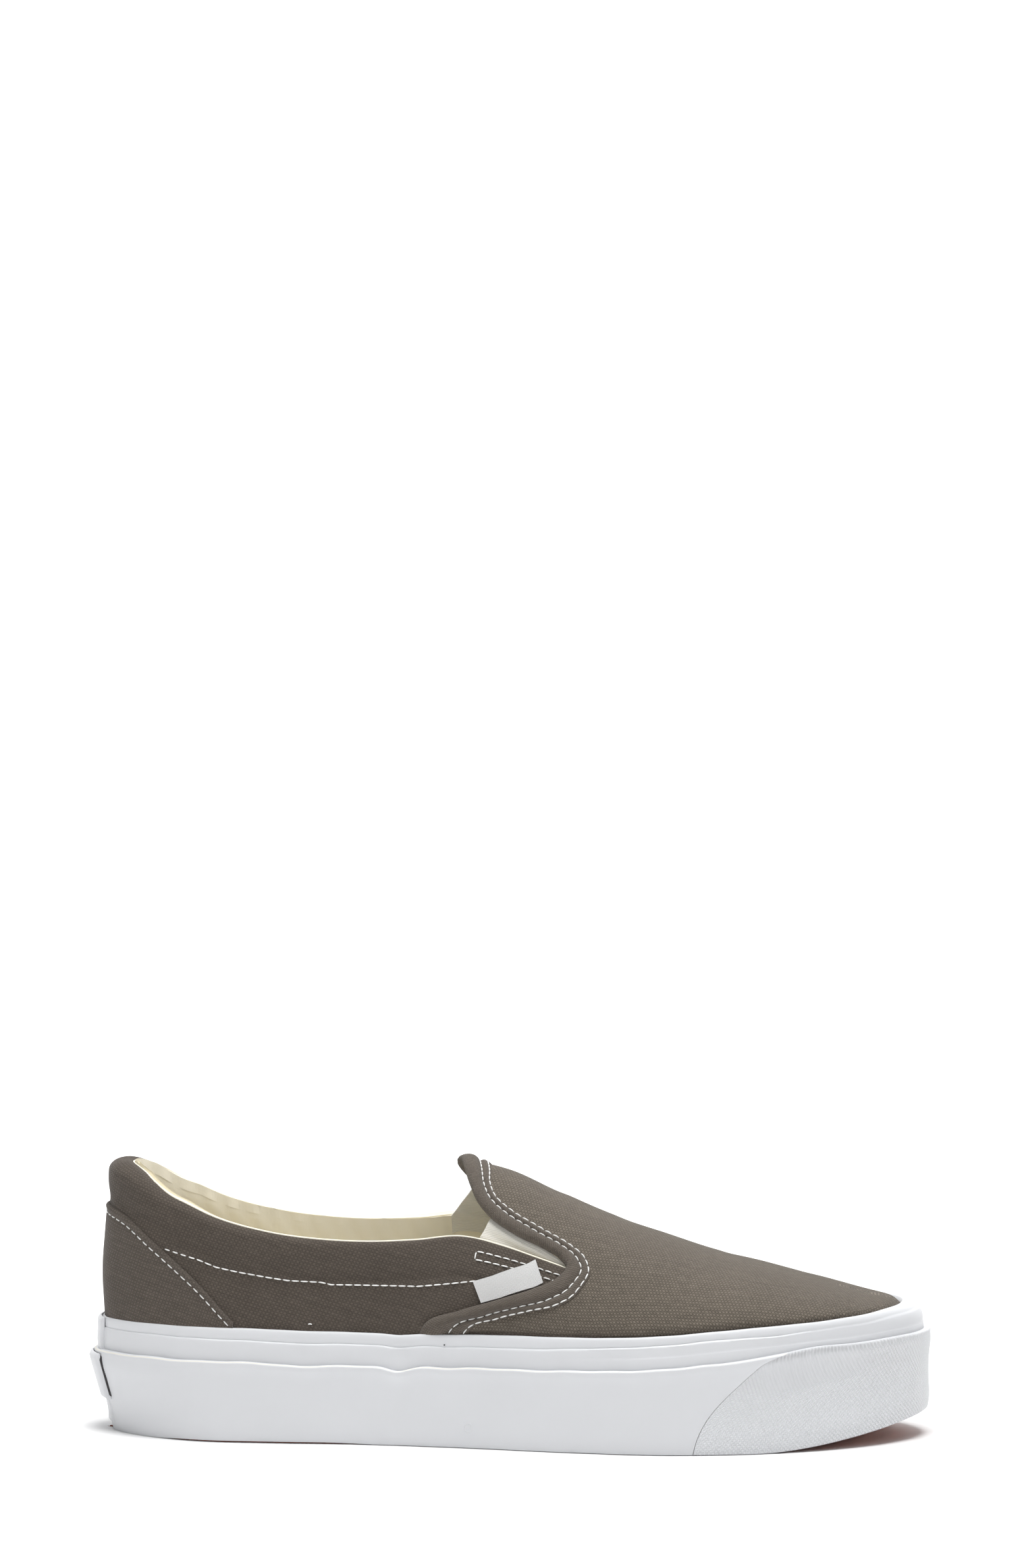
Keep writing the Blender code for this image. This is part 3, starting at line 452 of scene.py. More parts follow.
def creases(rows, points, scale=1.0):
    """Sum of soft troughs: each is depth * exp(-(d / width)^2), d being the distance from its
    line in side view, faded towards both ends of the line."""
    x = points[..., 0] / LAST_LENGTH + 0.5
    z = points[..., 2] * 1000
    total = np.zeros_like(x)
    for xa, za, xb, zb, width, depth in zip(*rows.values()):
        dx, dz = (xb - xa) * LAST_LENGTH * 1000, zb - za
        px, pz = (x - xa) * LAST_LENGTH * 1000, z - za
        t = (px * dx + pz * dz) / (dx * dx + dz * dz)
        away = np.hypot(px - np.clip(t, 0, 1) * dx, pz - np.clip(t, 0, 1) * dz)
        total -= depth * np.exp(-(away / width) ** 2) * ease(4 * np.minimum(t, 1 - t) + 0.5)
    return total * 0.001 * scale


# Meshes

def settings():
    """The sizes that the panel shows."""
    return bpy.context.scene.sneaker_sizes


def colours():
    """The colours that the panel shows."""
    return bpy.context.scene.sneaker_colours


def mesh_object(name, points, faces, materials, uv=None, face_slots=None, sharp=40.0, solid=True):
    """A mesh object at the origin from points and faces, with UVs in metres. Points that no face
    uses are left out. A solid is turned outwards where the sum of its triangles' a . (b x c),
    six times its volume, is negative. sharp 0 shades every face flat."""
    points = points.reshape(-1, 3)
    uv = None if uv is None else uv.reshape(-1, 2)
    if not isinstance(faces, list):
        used, numbers = np.unique(faces, return_inverse=True)
        points = points[used]
        uv = None if uv is None else uv[used]
        faces = numbers.reshape(faces.shape).tolist()
    mesh = bpy.data.meshes.new(name)
    mesh.from_pydata(points.tolist(), [], faces)
    for material in materials:
        mesh.materials.append(material)
    if uv is not None:
        layer = mesh.uv_layers.new(name="UVMap")
        corner = np.empty(len(mesh.loops), dtype=np.int32)
        mesh.loops.foreach_get("vertex_index", corner)
        layer.data.foreach_set("uv", uv[corner].astype(np.float32).ravel())
    if face_slots is not None:
        mesh.polygons.foreach_set("material_index", np.asarray(face_slots, dtype=np.int32))
    mesh.calc_loop_triangles()
    corners = np.empty(3 * len(mesh.loop_triangles), dtype=np.int32)
    mesh.loop_triangles.foreach_get("vertices", corners)
    a, b, c = np.moveaxis(points[corners.reshape(-1, 3)], 1, 0)
    if solid and np.sum(a * np.cross(b, c)) < 0:
        mesh.flip_normals()
    if sharp:
        mesh.shade_smooth()
        mesh.set_sharp_from_angle(angle=np.radians(sharp))
    mesh.update()
    obj = bpy.data.objects.new(name, mesh)
    bpy.context.scene.collection.objects.link(obj)
    return obj


def grid_faces(columns, rows, wrap=False, start=0):
    """Four-sided faces of a grid of columns by rows, numbered column by column."""
    number = np.arange(columns * rows).reshape(columns, rows) + start
    if wrap:
        number = np.concatenate([number, number[:1]])
    a, b = number[:-1, :-1], number[:-1, 1:]
    c, d = number[1:, 1:], number[1:, :-1]
    return np.stack([a, b, c, d], axis=-1).reshape(-1, 4)


def grid_uv(points):
    """UVs in metres: u is the run along the middle row, v the climb up each column."""
    middle = points[:, points.shape[1] // 2]
    run = np.concatenate([[0.0], np.cumsum(np.linalg.norm(np.diff(middle, axis=0), axis=1))])
    climb = np.cumsum(np.linalg.norm(np.diff(points, axis=1), axis=2), axis=1)
    climb = np.concatenate([np.zeros((len(points), 1)), climb], axis=1)
    return np.stack([np.broadcast_to(run[:, None], climb.shape), climb], axis=-1)


def shell(name, outer, inner, materials, uv=None, wrap=False, sharp=40.0, outer_slots=None,
          inner_slot=0):
    """A closed wall between two grids: both faces, and the rims between their edges."""
    columns, rows = outer.shape[:2]
    count = columns * rows
    front = grid_faces(columns, rows, wrap)
    back = grid_faces(columns, rows, wrap, count)[:, ::-1]
    number = np.arange(count).reshape(columns, rows)
    if wrap:
        number = np.concatenate([number, number[:1]])
    low, high = number[:, 0], number[:, -1]
    rims = [np.stack([low[:-1], low[1:], low[1:] + count, low[:-1] + count], axis=-1),
            np.stack([high[1:], high[:-1], high[:-1] + count, high[1:] + count], axis=-1)]
    if not wrap:
        near, far = number[0], number[-1]
        rims.append(np.stack([near[:-1], near[:-1] + count, near[1:] + count, near[1:]], axis=-1))
        rims.append(np.stack([far[1:], far[1:] + count, far[:-1] + count, far[:-1]], axis=-1))
    rims = np.concatenate(rims)
    faces = np.concatenate([front, back, rims])
    uv = grid_uv(outer) if uv is None else uv
    slots = np.zeros(len(front), dtype=int) if outer_slots is None else outer_slots
    slots = np.concatenate([slots, np.full(len(back), inner_slot), np.full(len(rims), 0)])
    return mesh_object(name, np.stack([outer, inner]), faces, materials, np.stack([uv, uv]), slots, sharp)


def swept(name, rings, materials, sharp=40.0):
    """A tube from rings of points, with flat ends."""
    count, around = rings.shape[:2]
    points = np.swapaxes(rings, 0, 1)
    faces = grid_faces(around, count, wrap=True).tolist()
    first = np.arange(around) * count
    faces += [first.tolist(), (first + count - 1)[::-1].tolist()]
    return mesh_object(name, points, faces, materials, grid_uv(points)[..., ::-1], sharp=sharp)


def rides(obj, slot, *nodes):
    """Tie a finished piece to the shoe and hide the solids it stands for. slot is not used."""
    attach(obj, "root")
    if nodes:
        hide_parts(*nodes)
    return obj


def stitch_row(name, path, normals, material, pitch, length, radius, skip=0.0):
    """Separate stitches along a path. Each is a thread whose middle rises by its radius and
    whose ends dip into the cloth: lift = radius * (1 - 1.6 s^2), girth = sqrt(1 - s^4)."""
    steps = np.linalg.norm(np.diff(path, axis=0), axis=1)
    run = np.concatenate([[0.0], np.cumsum(steps)])
    centres = np.arange(pitch * (0.5 + skip), run[-1] - 0.4 * pitch, pitch)
    s = np.linspace(-1, 1, 7)
    places = centres[:, None] + 0.5 * length * s
    spot = np.stack([np.interp(places, run, path[:, k]) for k in range(3)], axis=-1)
    up = np.stack([np.interp(places, run, normals[:, k]) for k in range(3)], axis=-1)
    up /= np.linalg.norm(up, axis=-1, keepdims=True)
    ahead = np.gradient(spot, axis=1)
    ahead /= np.linalg.norm(ahead, axis=-1, keepdims=True)
    side = np.cross(up, ahead)
    spot = spot + up * (radius * (1 - 1.6 * s * s))[None, :, None]
    girth = radius * np.sqrt(np.maximum(1 - s ** 4, 0.05))
    turn = np.arange(6) * np.pi / 3
    ring = (np.cos(turn)[None, None, :, None] * side[:, :, None, :]
            + np.sin(turn)[None, None, :, None] * up[:, :, None, :])
    points = spot[:, :, None, :] + ring * girth[None, :, None, None]
    one = grid_faces(7, 6)
    loop = np.arange(7 * 6).reshape(7, 6)
    closing = np.stack([loop[:-1, -1], loop[:-1, 0], loop[1:, 0], loop[1:, -1]], axis=-1)
    quads = np.concatenate([one, closing])
    first = (np.arange(len(centres)) * 42)[:, None, None]
    faces = (quads[None] + first).reshape(-1, 4).tolist()
    caps = np.concatenate([loop[:1, ::-1], loop[-1:, :]])
    faces += (caps[None] + first).reshape(-1, 6).tolist()
    return rides(mesh_object(name, points, faces, [material], sharp=80), "elastic")


# Materials

class Nodes:
    """A short way to build a Principled material: numbers go to sockets, nodes are linked."""

    def __init__(self, name, roughness=0.6, sheen=0.0, coat=0.0, specular=0.5, thickness=0.0):
        self.material = bpy.data.materials.new(name)
        self.material.use_nodes = True
        self.tree = self.material.node_tree
        self.shader = self.tree.nodes["Principled BSDF"]
        self.shader.inputs["Roughness"].default_value = roughness
        self.shader.inputs["Sheen Weight"].default_value = sheen
        self.shader.inputs["Coat Weight"].default_value = coat
        self.shader.inputs["Specular IOR Level"].default_value = specular
        self.shader.inputs["Subsurface Weight"].default_value = thickness

    def add(self, kind, inputs=(), **settings_of):
        """A node with its settings, and numbers or sockets for its inputs."""
        node = self.tree.nodes.new(kind)
        for key, value in settings_of.items():
            setattr(node, key, value)
        for key, value in dict(inputs).items():
            self.feed(node.inputs[key], value)
        return node

    def feed(self, socket, value):
        """Set a socket to a number or link it to another socket."""
        if isinstance(value, bpy.types.NodeSocket):
            self.tree.links.new(value, socket)
        else:
            socket.default_value = value

    def maths(self, operation, a, b=0.0, c=0.0, clamp=False):
        """One maths node."""
        node = self.add("ShaderNodeMath", {0: a, 1: b, 2: c}, operation=operation, use_clamp=clamp)
        return node.outputs[0]

    def noise(self, where, scale, detail=2.0, roughness=0.5):
        """A noise value."""
        node = self.add("ShaderNodeTexNoise", {"Vector": where, "Scale": scale, "Detail": detail,
                                               "Roughness": roughness})
        return node.outputs[0]

    def mix(self, share, first, second):
        """A colour between two colours."""
        node = self.add("ShaderNodeMix", data_type="RGBA")
        self.feed(node.inputs[0], share)
        self.feed(node.inputs[6], first)
        self.feed(node.inputs[7], second)
        return node.outputs[2]

    def spread(self, value, low, high, to_low=0.0, to_high=1.0):
        """A value stretched from one range to another."""
        node = self.add("ShaderNodeMapRange", {"Value": value, "From Min": low, "From Max": high,
                                               "To Min": to_low, "To Max": to_high})
        return node.outputs[0]

    def cloth_place(self, pitch, angle=0.0):
        """The piece's own UV in threads, turned by an angle."""
        uv = self.add("ShaderNodeUVMap", uv_map="UVMap").outputs[0]
        scaled = self.add("ShaderNodeMapping", {"Vector": uv, "Scale": (1 / pitch, 1 / pitch, 1.0),
                                                "Rotation": (0.0, 0.0, angle)})
        return scaled.outputs[0]

    def object_place(self):
        """Object coordinates."""
        return self.add("ShaderNodeTexCoord").outputs["Object"]

    def finish(self, colour=None, height=None, depth=0.0001, strength=1.0, roughness=None):
        """Link colour, bump and roughness, and give the material."""
        if colour is not None:
            self.feed(self.shader.inputs["Base Color"], colour)
        if roughness is not None:
            self.feed(self.shader.inputs["Roughness"], roughness)
        if height is not None:
            bump = self.add("ShaderNodeBump", {"Height": height, "Distance": depth, "Strength": strength})
            self.feed(self.shader.inputs["Normal"], bump.outputs[0])
        return self.material


def shade(colour, factor):
    """A colour made darker or lighter, with full opacity."""
    return (colour[0] * factor, colour[1] * factor, colour[2] * factor, 1.0)


def woven(name, colour, pitch, angle=0.0, contrast=0.5, depth=0.00022, roughness=0.92):
    """Plain weave of thread tops on a slanting grid: with U = x + 0.22 y and V = 1.2 y in cells,
    warp tops rise by |sin(pi U) sin(pi V)|^0.8, and lower weft tops fill the places between.
    The colour darkens from the tops into the gaps between threads: painted shade. Each cell's
    noise, fuzz, slub and cloud are the yarn's own tone."""
    n = Nodes(name, roughness=roughness, sheen=0.10, specular=0.15)
    place = n.cloth_place(pitch, angle)
    wobble = n.add("ShaderNodeTexNoise", {"Vector": place, "Scale": 0.45, "Detail": 2.0})
    place = n.add("ShaderNodeVectorMath", {0: wobble.outputs[1], 1: (0.5, 0.5, 0.0), 2: place},
                  operation="MULTIPLY_ADD").outputs[0]
    axes = n.add("ShaderNodeSeparateXYZ", {0: place})
    v = n.maths("MULTIPLY", axes.outputs[1], 1.2)
    u = n.maths("MULTIPLY_ADD", axes.outputs[1], 0.22, axes.outputs[0])

    def tops(shift):
        waves = [n.maths("SINE", n.maths("MULTIPLY", n.maths("ADD", axis, shift), np.pi)) for axis in (u, v)]
        return n.maths("POWER", n.maths("ABSOLUTE", n.maths("MULTIPLY", *waves)), 0.8)

    warp, weft = tops(0.0), tops(0.5)
    cell = n.add("ShaderNodeCombineXYZ", {0: n.maths("FLOOR", u), 1: n.maths("FLOOR", v)})
    each = n.add("ShaderNodeTexWhiteNoise", {"Vector": cell.outputs[0]}, noise_dimensions="2D").outputs[0]
    fuzz = n.noise(place, 2.6, 3.0, 0.6)
    along_yarn = n.add("ShaderNodeMapping", {"Vector": place, "Scale": (0.12, 0.9, 1.0)})
    slub = n.noise(along_yarn.outputs[0], 1.0, 2.0)
    cloud = n.noise(n.object_place(), 24.0, 3.0)
    high = n.maths("MAXIMUM", warp, n.maths("MULTIPLY", weft, 0.55))
    # Painted shade: the colour is darker in the gaps between thread tops than on the tops.
    light = n.maths("MULTIPLY_ADD", high, 1.9 * contrast, 1.0 - contrast)
    light = n.maths("MULTIPLY", light, n.maths("MULTIPLY_ADD", each, 0.3 * contrast, 1.0 - 0.15 * contrast))
    for value, change in ((fuzz, 0.25 * contrast), (slub, 0.08), (cloud, 0.04)):
        light = n.maths("MULTIPLY", light, n.spread(value, 0.3, 0.7, 1.0 - change, 1.0 + change))
    tint = n.mix(light, (0.0, 0.0, 0.0, 1.0), (*colour, 1.0))
    tint.node.clamp_factor = False
    return n.finish(tint, n.maths("MULTIPLY_ADD", fuzz, 0.35, high), depth, 0.7)


def moulded_rubber(name, colour, roughness=0.42, mottle=0.015):
    """Smooth moulded rubber: faint mottling, a fine skin and slow unevenness."""
    n = Nodes(name, roughness=roughness, specular=0.4, coat=0.0)
    place = n.object_place()
    cloud = n.noise(place, 35.0, 3.0)
    fine = n.noise(place, 900.0, 2.0)
    broad = n.noise(place, 60.0, 1.0)
    factor = n.spread(cloud, 0.3, 0.7, 1 - mottle, 1 + mottle)
    tint = n.mix(factor, (0.0, 0.0, 0.0, 1.0), (*colour, 1.0))
    tint.node.clamp_factor = False
    high = n.maths("MULTIPLY_ADD", fine, 0.10, broad)
    gloss = n.spread(cloud, 0.3, 0.7, roughness - 0.05, roughness + 0.06)
    return n.finish(tint, high, 0.0004, 0.25, gloss)


def diamond_rubber(name, colour, depth):
    """Rubber moulded with small diamonds in offset rows: with A = x / 1.41 + y / 1.47 and
    B = x / 1.41 - y / 1.47 in millimetres, the height is |cos(pi A) cos(pi B)|. The colour is
    the side rubber's with painted light: 5 per cent lighter in the hollows and 16 per cent
    lighter on the diamonds' tops, a painted highlight."""
    n = Nodes(name, roughness=0.42, specular=0.4)
    axes = n.add("ShaderNodeSeparateXYZ", {0: n.cloth_place(0.001)})
    x = n.maths("DIVIDE", axes.outputs[0], 1.41)
    y = n.maths("DIVIDE", axes.outputs[1], 1.47)
    waves = [n.maths("COSINE", n.maths("MULTIPLY", n.maths(sign, x, y), np.pi))
             for sign in ("ADD", "SUBTRACT")]
    high = n.maths("ABSOLUTE", n.maths("MULTIPLY", *waves))
    # Painted light: the bumper is lighter than the band's same rubber, most on the diamonds' tops.
    tint = n.mix(high, shade(colour, 1.05), shade(colour, 1.16))
    return n.finish(tint, high, depth, 0.8)


def lining_leather(name, colour):
    """Smooth lining: soft crumpled grain and slight stains."""
    n = Nodes(name, roughness=0.62, specular=0.3, sheen=0.05)
    place = n.object_place()
    grain = n.noise(place, 700.0, 3.0, 0.6)
    stretched = n.add("ShaderNodeMapping", {"Vector": place, "Scale": (1.0, 1.0, 0.45)})
    crumple = n.noise(stretched.outputs[0], 140.0, 3.0, 0.55)
    cloud = n.noise(place, 22.0, 2.0)
    tint = n.mix(n.spread(cloud, 0.3, 0.7), shade(colour, 0.93), shade(colour, 1.04))
    high = n.maths("MULTIPLY_ADD", grain, 0.12, crumple)
    return n.finish(tint, high, 0.0012, 0.30)


def ribbed_elastic(name, colour, pitch):
    """Elastic with fine ribs along its length: height = |sin(pi V)|, crossed by a faint weave.
    The colour darkens into the grooves between the ribs: painted shade.
    """
    n = Nodes(name, roughness=0.8, sheen=0.15, specular=0.25)
    axes = n.add("ShaderNodeSeparateXYZ", {0: n.cloth_place(pitch)})
    rib = n.maths("ABSOLUTE", n.maths("SINE", n.maths("MULTIPLY", axes.outputs[1], np.pi)))
    rib = n.maths("POWER", rib, 0.7)
    cross = n.maths("ABSOLUTE", n.maths("SINE", n.maths("MULTIPLY", axes.outputs[0], 2.1 * np.pi)))
    high = n.maths("MULTIPLY_ADD", cross, 0.25, rib)
    # Painted shade: the grooves between the ribs are coloured darker than the rib tops.
    tint = n.mix(n.maths("MULTIPLY_ADD", rib, 0.7, 0.3), shade(colour, 0.80), shade(colour, 1.03))
    return n.finish(tint, high, 0.00018, 0.6)


def thread_cotton(name, colour):
    """Twisted sewing thread."""
    n = Nodes(name, roughness=0.7, sheen=0.2, specular=0.3)
    fine = n.noise(n.object_place(), 2600.0, 1.0)
    tint = n.mix(n.spread(fine, 0.35, 0.65), shade(colour, 0.86), shade(colour, 1.02))
    return n.finish(tint, fine, 0.0001, 0.5)


def finishes():
    """Every finish of the shoe, made once."""
    made = bpy.context.scene.get("sneaker_finishes_made")
    if not made:
        c = colours()
        s = settings()
        woven("vamp_canvas", c.vamp, s.thread_pitch, -0.16, 0.55, 0.0004)
        woven("quarter_canvas", c.quarter, 1.1 * s.thread_pitch, -0.30, 0.34, 0.0003)
        woven("counter_canvas", c.counter, 1.1 * s.thread_pitch, -0.20, 0.34, 0.0003)
        woven("bias_strip", c.binding, 0.62 * s.thread_pitch, 0.80, 0.55, 0.0004)
        lining_leather("collar_lining", c.lining)
        woven("inner_lining", c.lining, s.thread_pitch * 0.5, 0.0, 0.14, 0.0001)
        ribbed_elastic("gore_elastic", c.elastic, 0.00062)
        ribbed_elastic("woven_tab", (0.61, 0.61, 0.605), 0.00042)
        moulded_rubber("side_rubber", c.rubber)
        diamond_rubber("bumper_rubber", c.rubber, s.diamond_height)
        moulded_rubber("cut_edge", (0.74, 0.72, 0.66), 0.7, 0.05)
        moulded_rubber("gum_rubber_sole", c.gum, 0.55, 0.06)
        # Near-black: painted shade round the heel plate, and the colour of the real dark dot on the band.
        moulded_rubber("plate_rim_shade_and_dot_black", (0.035, 0.030, 0.033), 0.5, 0.02)
        thread_cotton("sewing_thread", (0.88, 0.88, 0.86))
        woven("footbed_cloth", c.lining, s.thread_pitch * 0.5, 0.0, 0.2, 0.00012)
        bpy.context.scene["sneaker_finishes_made"] = True
    return bpy.data.materials


# Pieces of the upper

def collar_columns(count):
    """Turns of the quarters' columns, from the outer front edge round the heel."""
    return np.linspace(turn_at(QUARTER_END, -1), turn_at(QUARTER_END, 1), count)[:, None]


def collar_offsets(turn, below):
    """Offsets of the collar's two faces at a depth below the rim: the canvas swells by its
    pad, and the lining stands in by the wall and the pad's fill."""
    pad = collar_pad(turn)
    depth = below / COLLAR_DEPTH
    outside = 0.001 * pad * read(COLLAR_WALL, "swell", depth, "below")
    inside = -QUARTER_WALL - COLLAR_PAD * pad * read(COLLAR_WALL, "fill", depth, "below")
    return outside, inside


def rim_radius(turn):
    """Height of the collar's rounded rim."""
    return 0.0014 + 0.0030 * collar_pad(turn)


def rim_split(turn):
    """Angle on the rim where canvas meets lining: outside at the sides, inside at the heel."""
    return np.radians(24 - 62 * (1 - ease(column_along(turn) / 0.10)))


def collar_face(turn, height, angle):
    """A point of the collar's skin. Below the rim's radius it lies on the faces of
    collar_offsets; on the rim it lies on an ellipse: depth R(1 - cos a), offset m + w sin a,
    with m and w the middle and half thickness of the wall. a is positive outside."""
    top = collar_top(turn)
    radius = rim_radius(turn)
    below = np.where(np.abs(angle) < np.pi / 2, radius * (1 - np.cos(angle)), top - height)
    outside, inside = collar_offsets(turn, below)
    middle, half = 0.5 * (outside + inside), 0.5 * (outside - inside)
    return level_at(turn, top - below), middle + half * np.sin(angle)


def make_quarters():
    """Canvas of both sides and the heel, over the padded collar up to the lining."""
    turn = collar_columns(430)
    top = collar_top(turn)
    low = side_height(turn, "top") - 0.004
    high = top - rim_radius(turn)
    share = np.linspace(0, 1, 62)[None]
    flat = low + (high - low) * share
    on_rim = np.pi / 2 + (rim_split(turn) - np.pi / 2) * np.linspace(0, 1, 15)[None, 1:]
    height = np.concatenate([flat, np.broadcast_to(top, on_rim.shape)], axis=1)
    angle = np.concatenate([np.full(flat.shape, np.pi / 2), on_rim], axis=1)
    level, offset = collar_face(turn, height, angle)
    points = last_surface(turn, level)
    offset = offset + creases(QUARTER_CREASES, points)
    seam = top - COLLAR_DEPTH * 1.04
    pucker = np.exp(-((points[..., 2] - seam) / 0.0011) ** 2) * ease((0.50 - column_along(turn)) / 0.05)
    offset = offset - 0.0004 * pucker * ease((column_along(turn) - 0.07) / 0.03)
    outer = offset_surface(turn, level, offset)
    inner = offset_surface(turn, level, offset - CANVAS_THICK * np.maximum(np.sin(angle), 0.35))
    uv = grid_uv(outer)
    obj = shell("quarters", outer, inner, [finishes()["quarter_canvas"]], uv)
    return rides(obj, "canvas", "upper")


def make_lining():
    """The collar's lining, from the canvas edge over the rim and down to the footbed."""
    turn = collar_columns(360)
    top = collar_top(turn)
    radius = rim_radius(turn)
    low = spring(turn) + FOOTBED_HEIGHT + 0.001
    split = rim_split(turn)
    on_rim = split + (-np.pi / 2 - split) * np.linspace(0, 1, 17)[None]
    flat = (top - radius) + (low - top + radius) * np.linspace(0, 1, 58)[None, 1:]
    height = np.concatenate([np.broadcast_to(top, on_rim.shape), flat], axis=1)
    angle = np.concatenate([on_rim, np.full(flat.shape, -np.pi / 2)], axis=1)
    level, offset = collar_face(turn, height, angle)
    points = last_surface(turn, level)
    inside = ease(-angle / 1.2)
    offset = offset - creases(LINING_CREASES, points) * inside
    crossing = 0.00012 * np.sin(points[..., 0] * 900 + points[..., 2] * 500) * inside
    face = offset_surface(turn, level, offset + crossing + 0.0003 * (1 - inside))
    behind = np.where(angle > 0, -0.0008, 0.0012) * np.maximum(np.abs(np.sin(angle)), 0.4)
    back = offset_surface(turn, level, offset + behind)
    obj = shell("collar_lining", face[:, ::-1], back[:, ::-1], [finishes()["collar_lining"]], sharp=60)
    return rides(obj, "lining", "upper")


def make_piping():
    """The thin cream edge between canvas and lining: a round cord along the split."""
    turn = collar_columns(360)
    angle = rim_split(turn)
    level, offset = collar_face(turn, collar_top(turn), angle)
    line = offset_surface(turn, level, offset)[:, 0]
    ahead = np.gradient(line, axis=0)
    ahead /= np.linalg.norm(ahead, axis=1, keepdims=True)
    out = normal_at(turn, level)[:, 0]
    out -= ahead * np.sum(out * ahead, axis=1, keepdims=True)
    out /= np.linalg.norm(out, axis=1, keepdims=True)
    up = np.cross(ahead, out)
    circle = np.linspace(0, 2 * np.pi, 11)[:-1]
    spoke = (np.cos(circle)[None, :, None] * out[:, None]
             + np.sin(circle)[None, :, None] * up[:, None])
    ring = line[:, None] + PIPING_RADIUS * spoke
    return rides(swept("collar_piping", ring, [finishes()["collar_lining"]]), "lining", "upper")


def rear_edge(rows):
    """The vamp's rear edge and border as tables of many rows, spaced by length."""
    points = last_surface(turn_at(VAMP_REAR["along"], -1), VAMP_REAR["level"])
    chords = np.linalg.norm(np.diff(points, axis=0), axis=1)
    run = np.concatenate([[0.0], np.cumsum(chords)])
    at = np.linspace(0.0, run[-1], rows)
    at[np.argmin(np.abs(at - run[6]))] = run[6]
    return {name: smooth(at, run, column) for name, column in VAMP_REAR.items()}


def strip_place(edge, share, side):
    """Turn and level at a share of the way from the vamp's rear edge to its border. On the inner
    side the flap's rear edge bulges back by FLAP_BULGE * sin^2 between levels 0.55 and 1."""
    along = edge["along"] + share * (edge["border_along"] - edge["along"])
    level = edge["level"] + share * (edge["border_level"] - edge["level"])
    if side > 0:
        bump = np.sin(np.pi * np.clip((edge["level"] - 0.55) / 0.45, 0, 1)) ** 2
        along = along - FLAP_BULGE * bump * (1 - share)
    return turn_at(along, side), np.minimum(level, 1.0)


def vamp_grid(rows, columns):
    """Turns and levels of the vamp: each row starts inside the strip's wrap, crosses to the
    border and runs evenly to the toe while its level eases into evenly spaced ones."""
    edge = rear_edge(rows)
    even = np.linspace(edge["level"][0], 1.0, rows)
    turns, levels = [], []
    for share in np.linspace(0.15, 1.0, 9):
        turn, level = strip_place(edge, share, -1)
        turns.append(-turn)
        levels.append(level)
    border_turn, border_level = turns[-1], levels[-1]
    for step in np.arange(1, columns + 1) / columns:
        share = step + 0.06 * np.sin(2 * np.pi * step)
        turns.append(border_turn + share * (1 - border_turn))
        levels.append(border_level + ease(1.3 * step) * (even - border_level))
    turns, levels = np.array(turns), np.array(levels)
    levels[:, 0] = level_at(turns[:, 0], side_height(turns[:, 0], "top") - 0.006)
    levels[:, -1] = 1.0
    return (np.concatenate([-turns, turns[-2::-1]]), np.concatenate([levels, levels[-2::-1]]))


def cloth_uv(points, level):
    """UVs of cloth laid over the foot: u is the run along the crest at the same x, and v the
    length of the section's curve from the crest line down to the point."""
    xs = np.linspace(-0.06, 0.1425, 220)
    turns = np.linspace(0.02, 0.9999, 900)
    levels = np.linspace(1.0, -0.8, 90)
    curve = np.zeros((len(levels), len(xs), 2))
    inside = np.zeros((len(levels), len(xs)), dtype=bool)
    for i, one in enumerate(levels):
        place = last_surface(turns, np.full(len(turns), one))
        order = np.maximum.accumulate(place[:, 0])
        curve[i, :, 0] = np.interp(xs, order, place[:, 1])
        curve[i, :, 1] = np.interp(xs, order, place[:, 2])
        inside[i] = xs <= order[-1]
    steps = np.linalg.norm(np.diff(curve, axis=0), axis=2) * inside[:-1]
    drop = np.concatenate([np.zeros((1, len(xs))), np.cumsum(steps, axis=0)])
    col = np.clip((points[..., 0] - xs[0]) / (xs[1] - xs[0]), 0, len(xs) - 1.001)
    row = np.clip((1.0 - level) / (levels[0] - levels[1]), 0, len(levels) - 1.001)
    i, j = row.astype(int), col.astype(int)
    fi, fj = row - i, col - j
    v = ((1 - fi) * ((1 - fj) * drop[i, j] + fj * drop[i, j + 1])
         + fi * ((1 - fj) * drop[i + 1, j] + fj * drop[i + 1, j + 1]))
    crest = read(SECTIONS, "ridge", xs / LAST_LENGTH + 0.5) * INSTEP_HEIGHT
    climb = np.concatenate([[0.0], np.cumsum(np.hypot(np.diff(xs), np.diff(crest)))])
    middle = read(SECTIONS, "crest", points[..., 0] / LAST_LENGTH + 0.5) * BALL_WIDTH
    side = np.sign(points[..., 1] - middle)
    return np.stack([np.interp(points[..., 0], xs, climb), side * v], axis=-1)


def make_vamp():
    """The vamp with its flap: canvas outside, and a textile lining under it."""
    turns, levels = vamp_grid(96, 120)
    lift = vamp_lift(turns, levels)
    base = last_surface(turns, levels)
    above = ease((base[..., 2] - side_height(turns, "top")) / 0.004)
    lift = lift + creases(VAMP_CREASES, base) * above

    def joined(points):
        points[:, -1] = 0.5 * (points[:, -1] + points[::-1, -1])
        return points

    outer = joined(offset_surface(turns, levels, lift))
    middle = joined(offset_surface(turns, levels, lift - 0.55 * VAMP_WALL))
    inner = joined(offset_surface(turns, levels, lift - VAMP_WALL))
    uv = cloth_uv(base, levels)
    canvas = shell_open_crest("vamp", outer, middle, [finishes()["vamp_canvas"]], uv)
    lining = shell_open_crest("vamp_lining", middle - (outer - middle) * 0.02, inner,
                              [finishes()["inner_lining"]], uv)
    return [rides(canvas, "canvas", "upper"), rides(lining, "lining", "upper")]


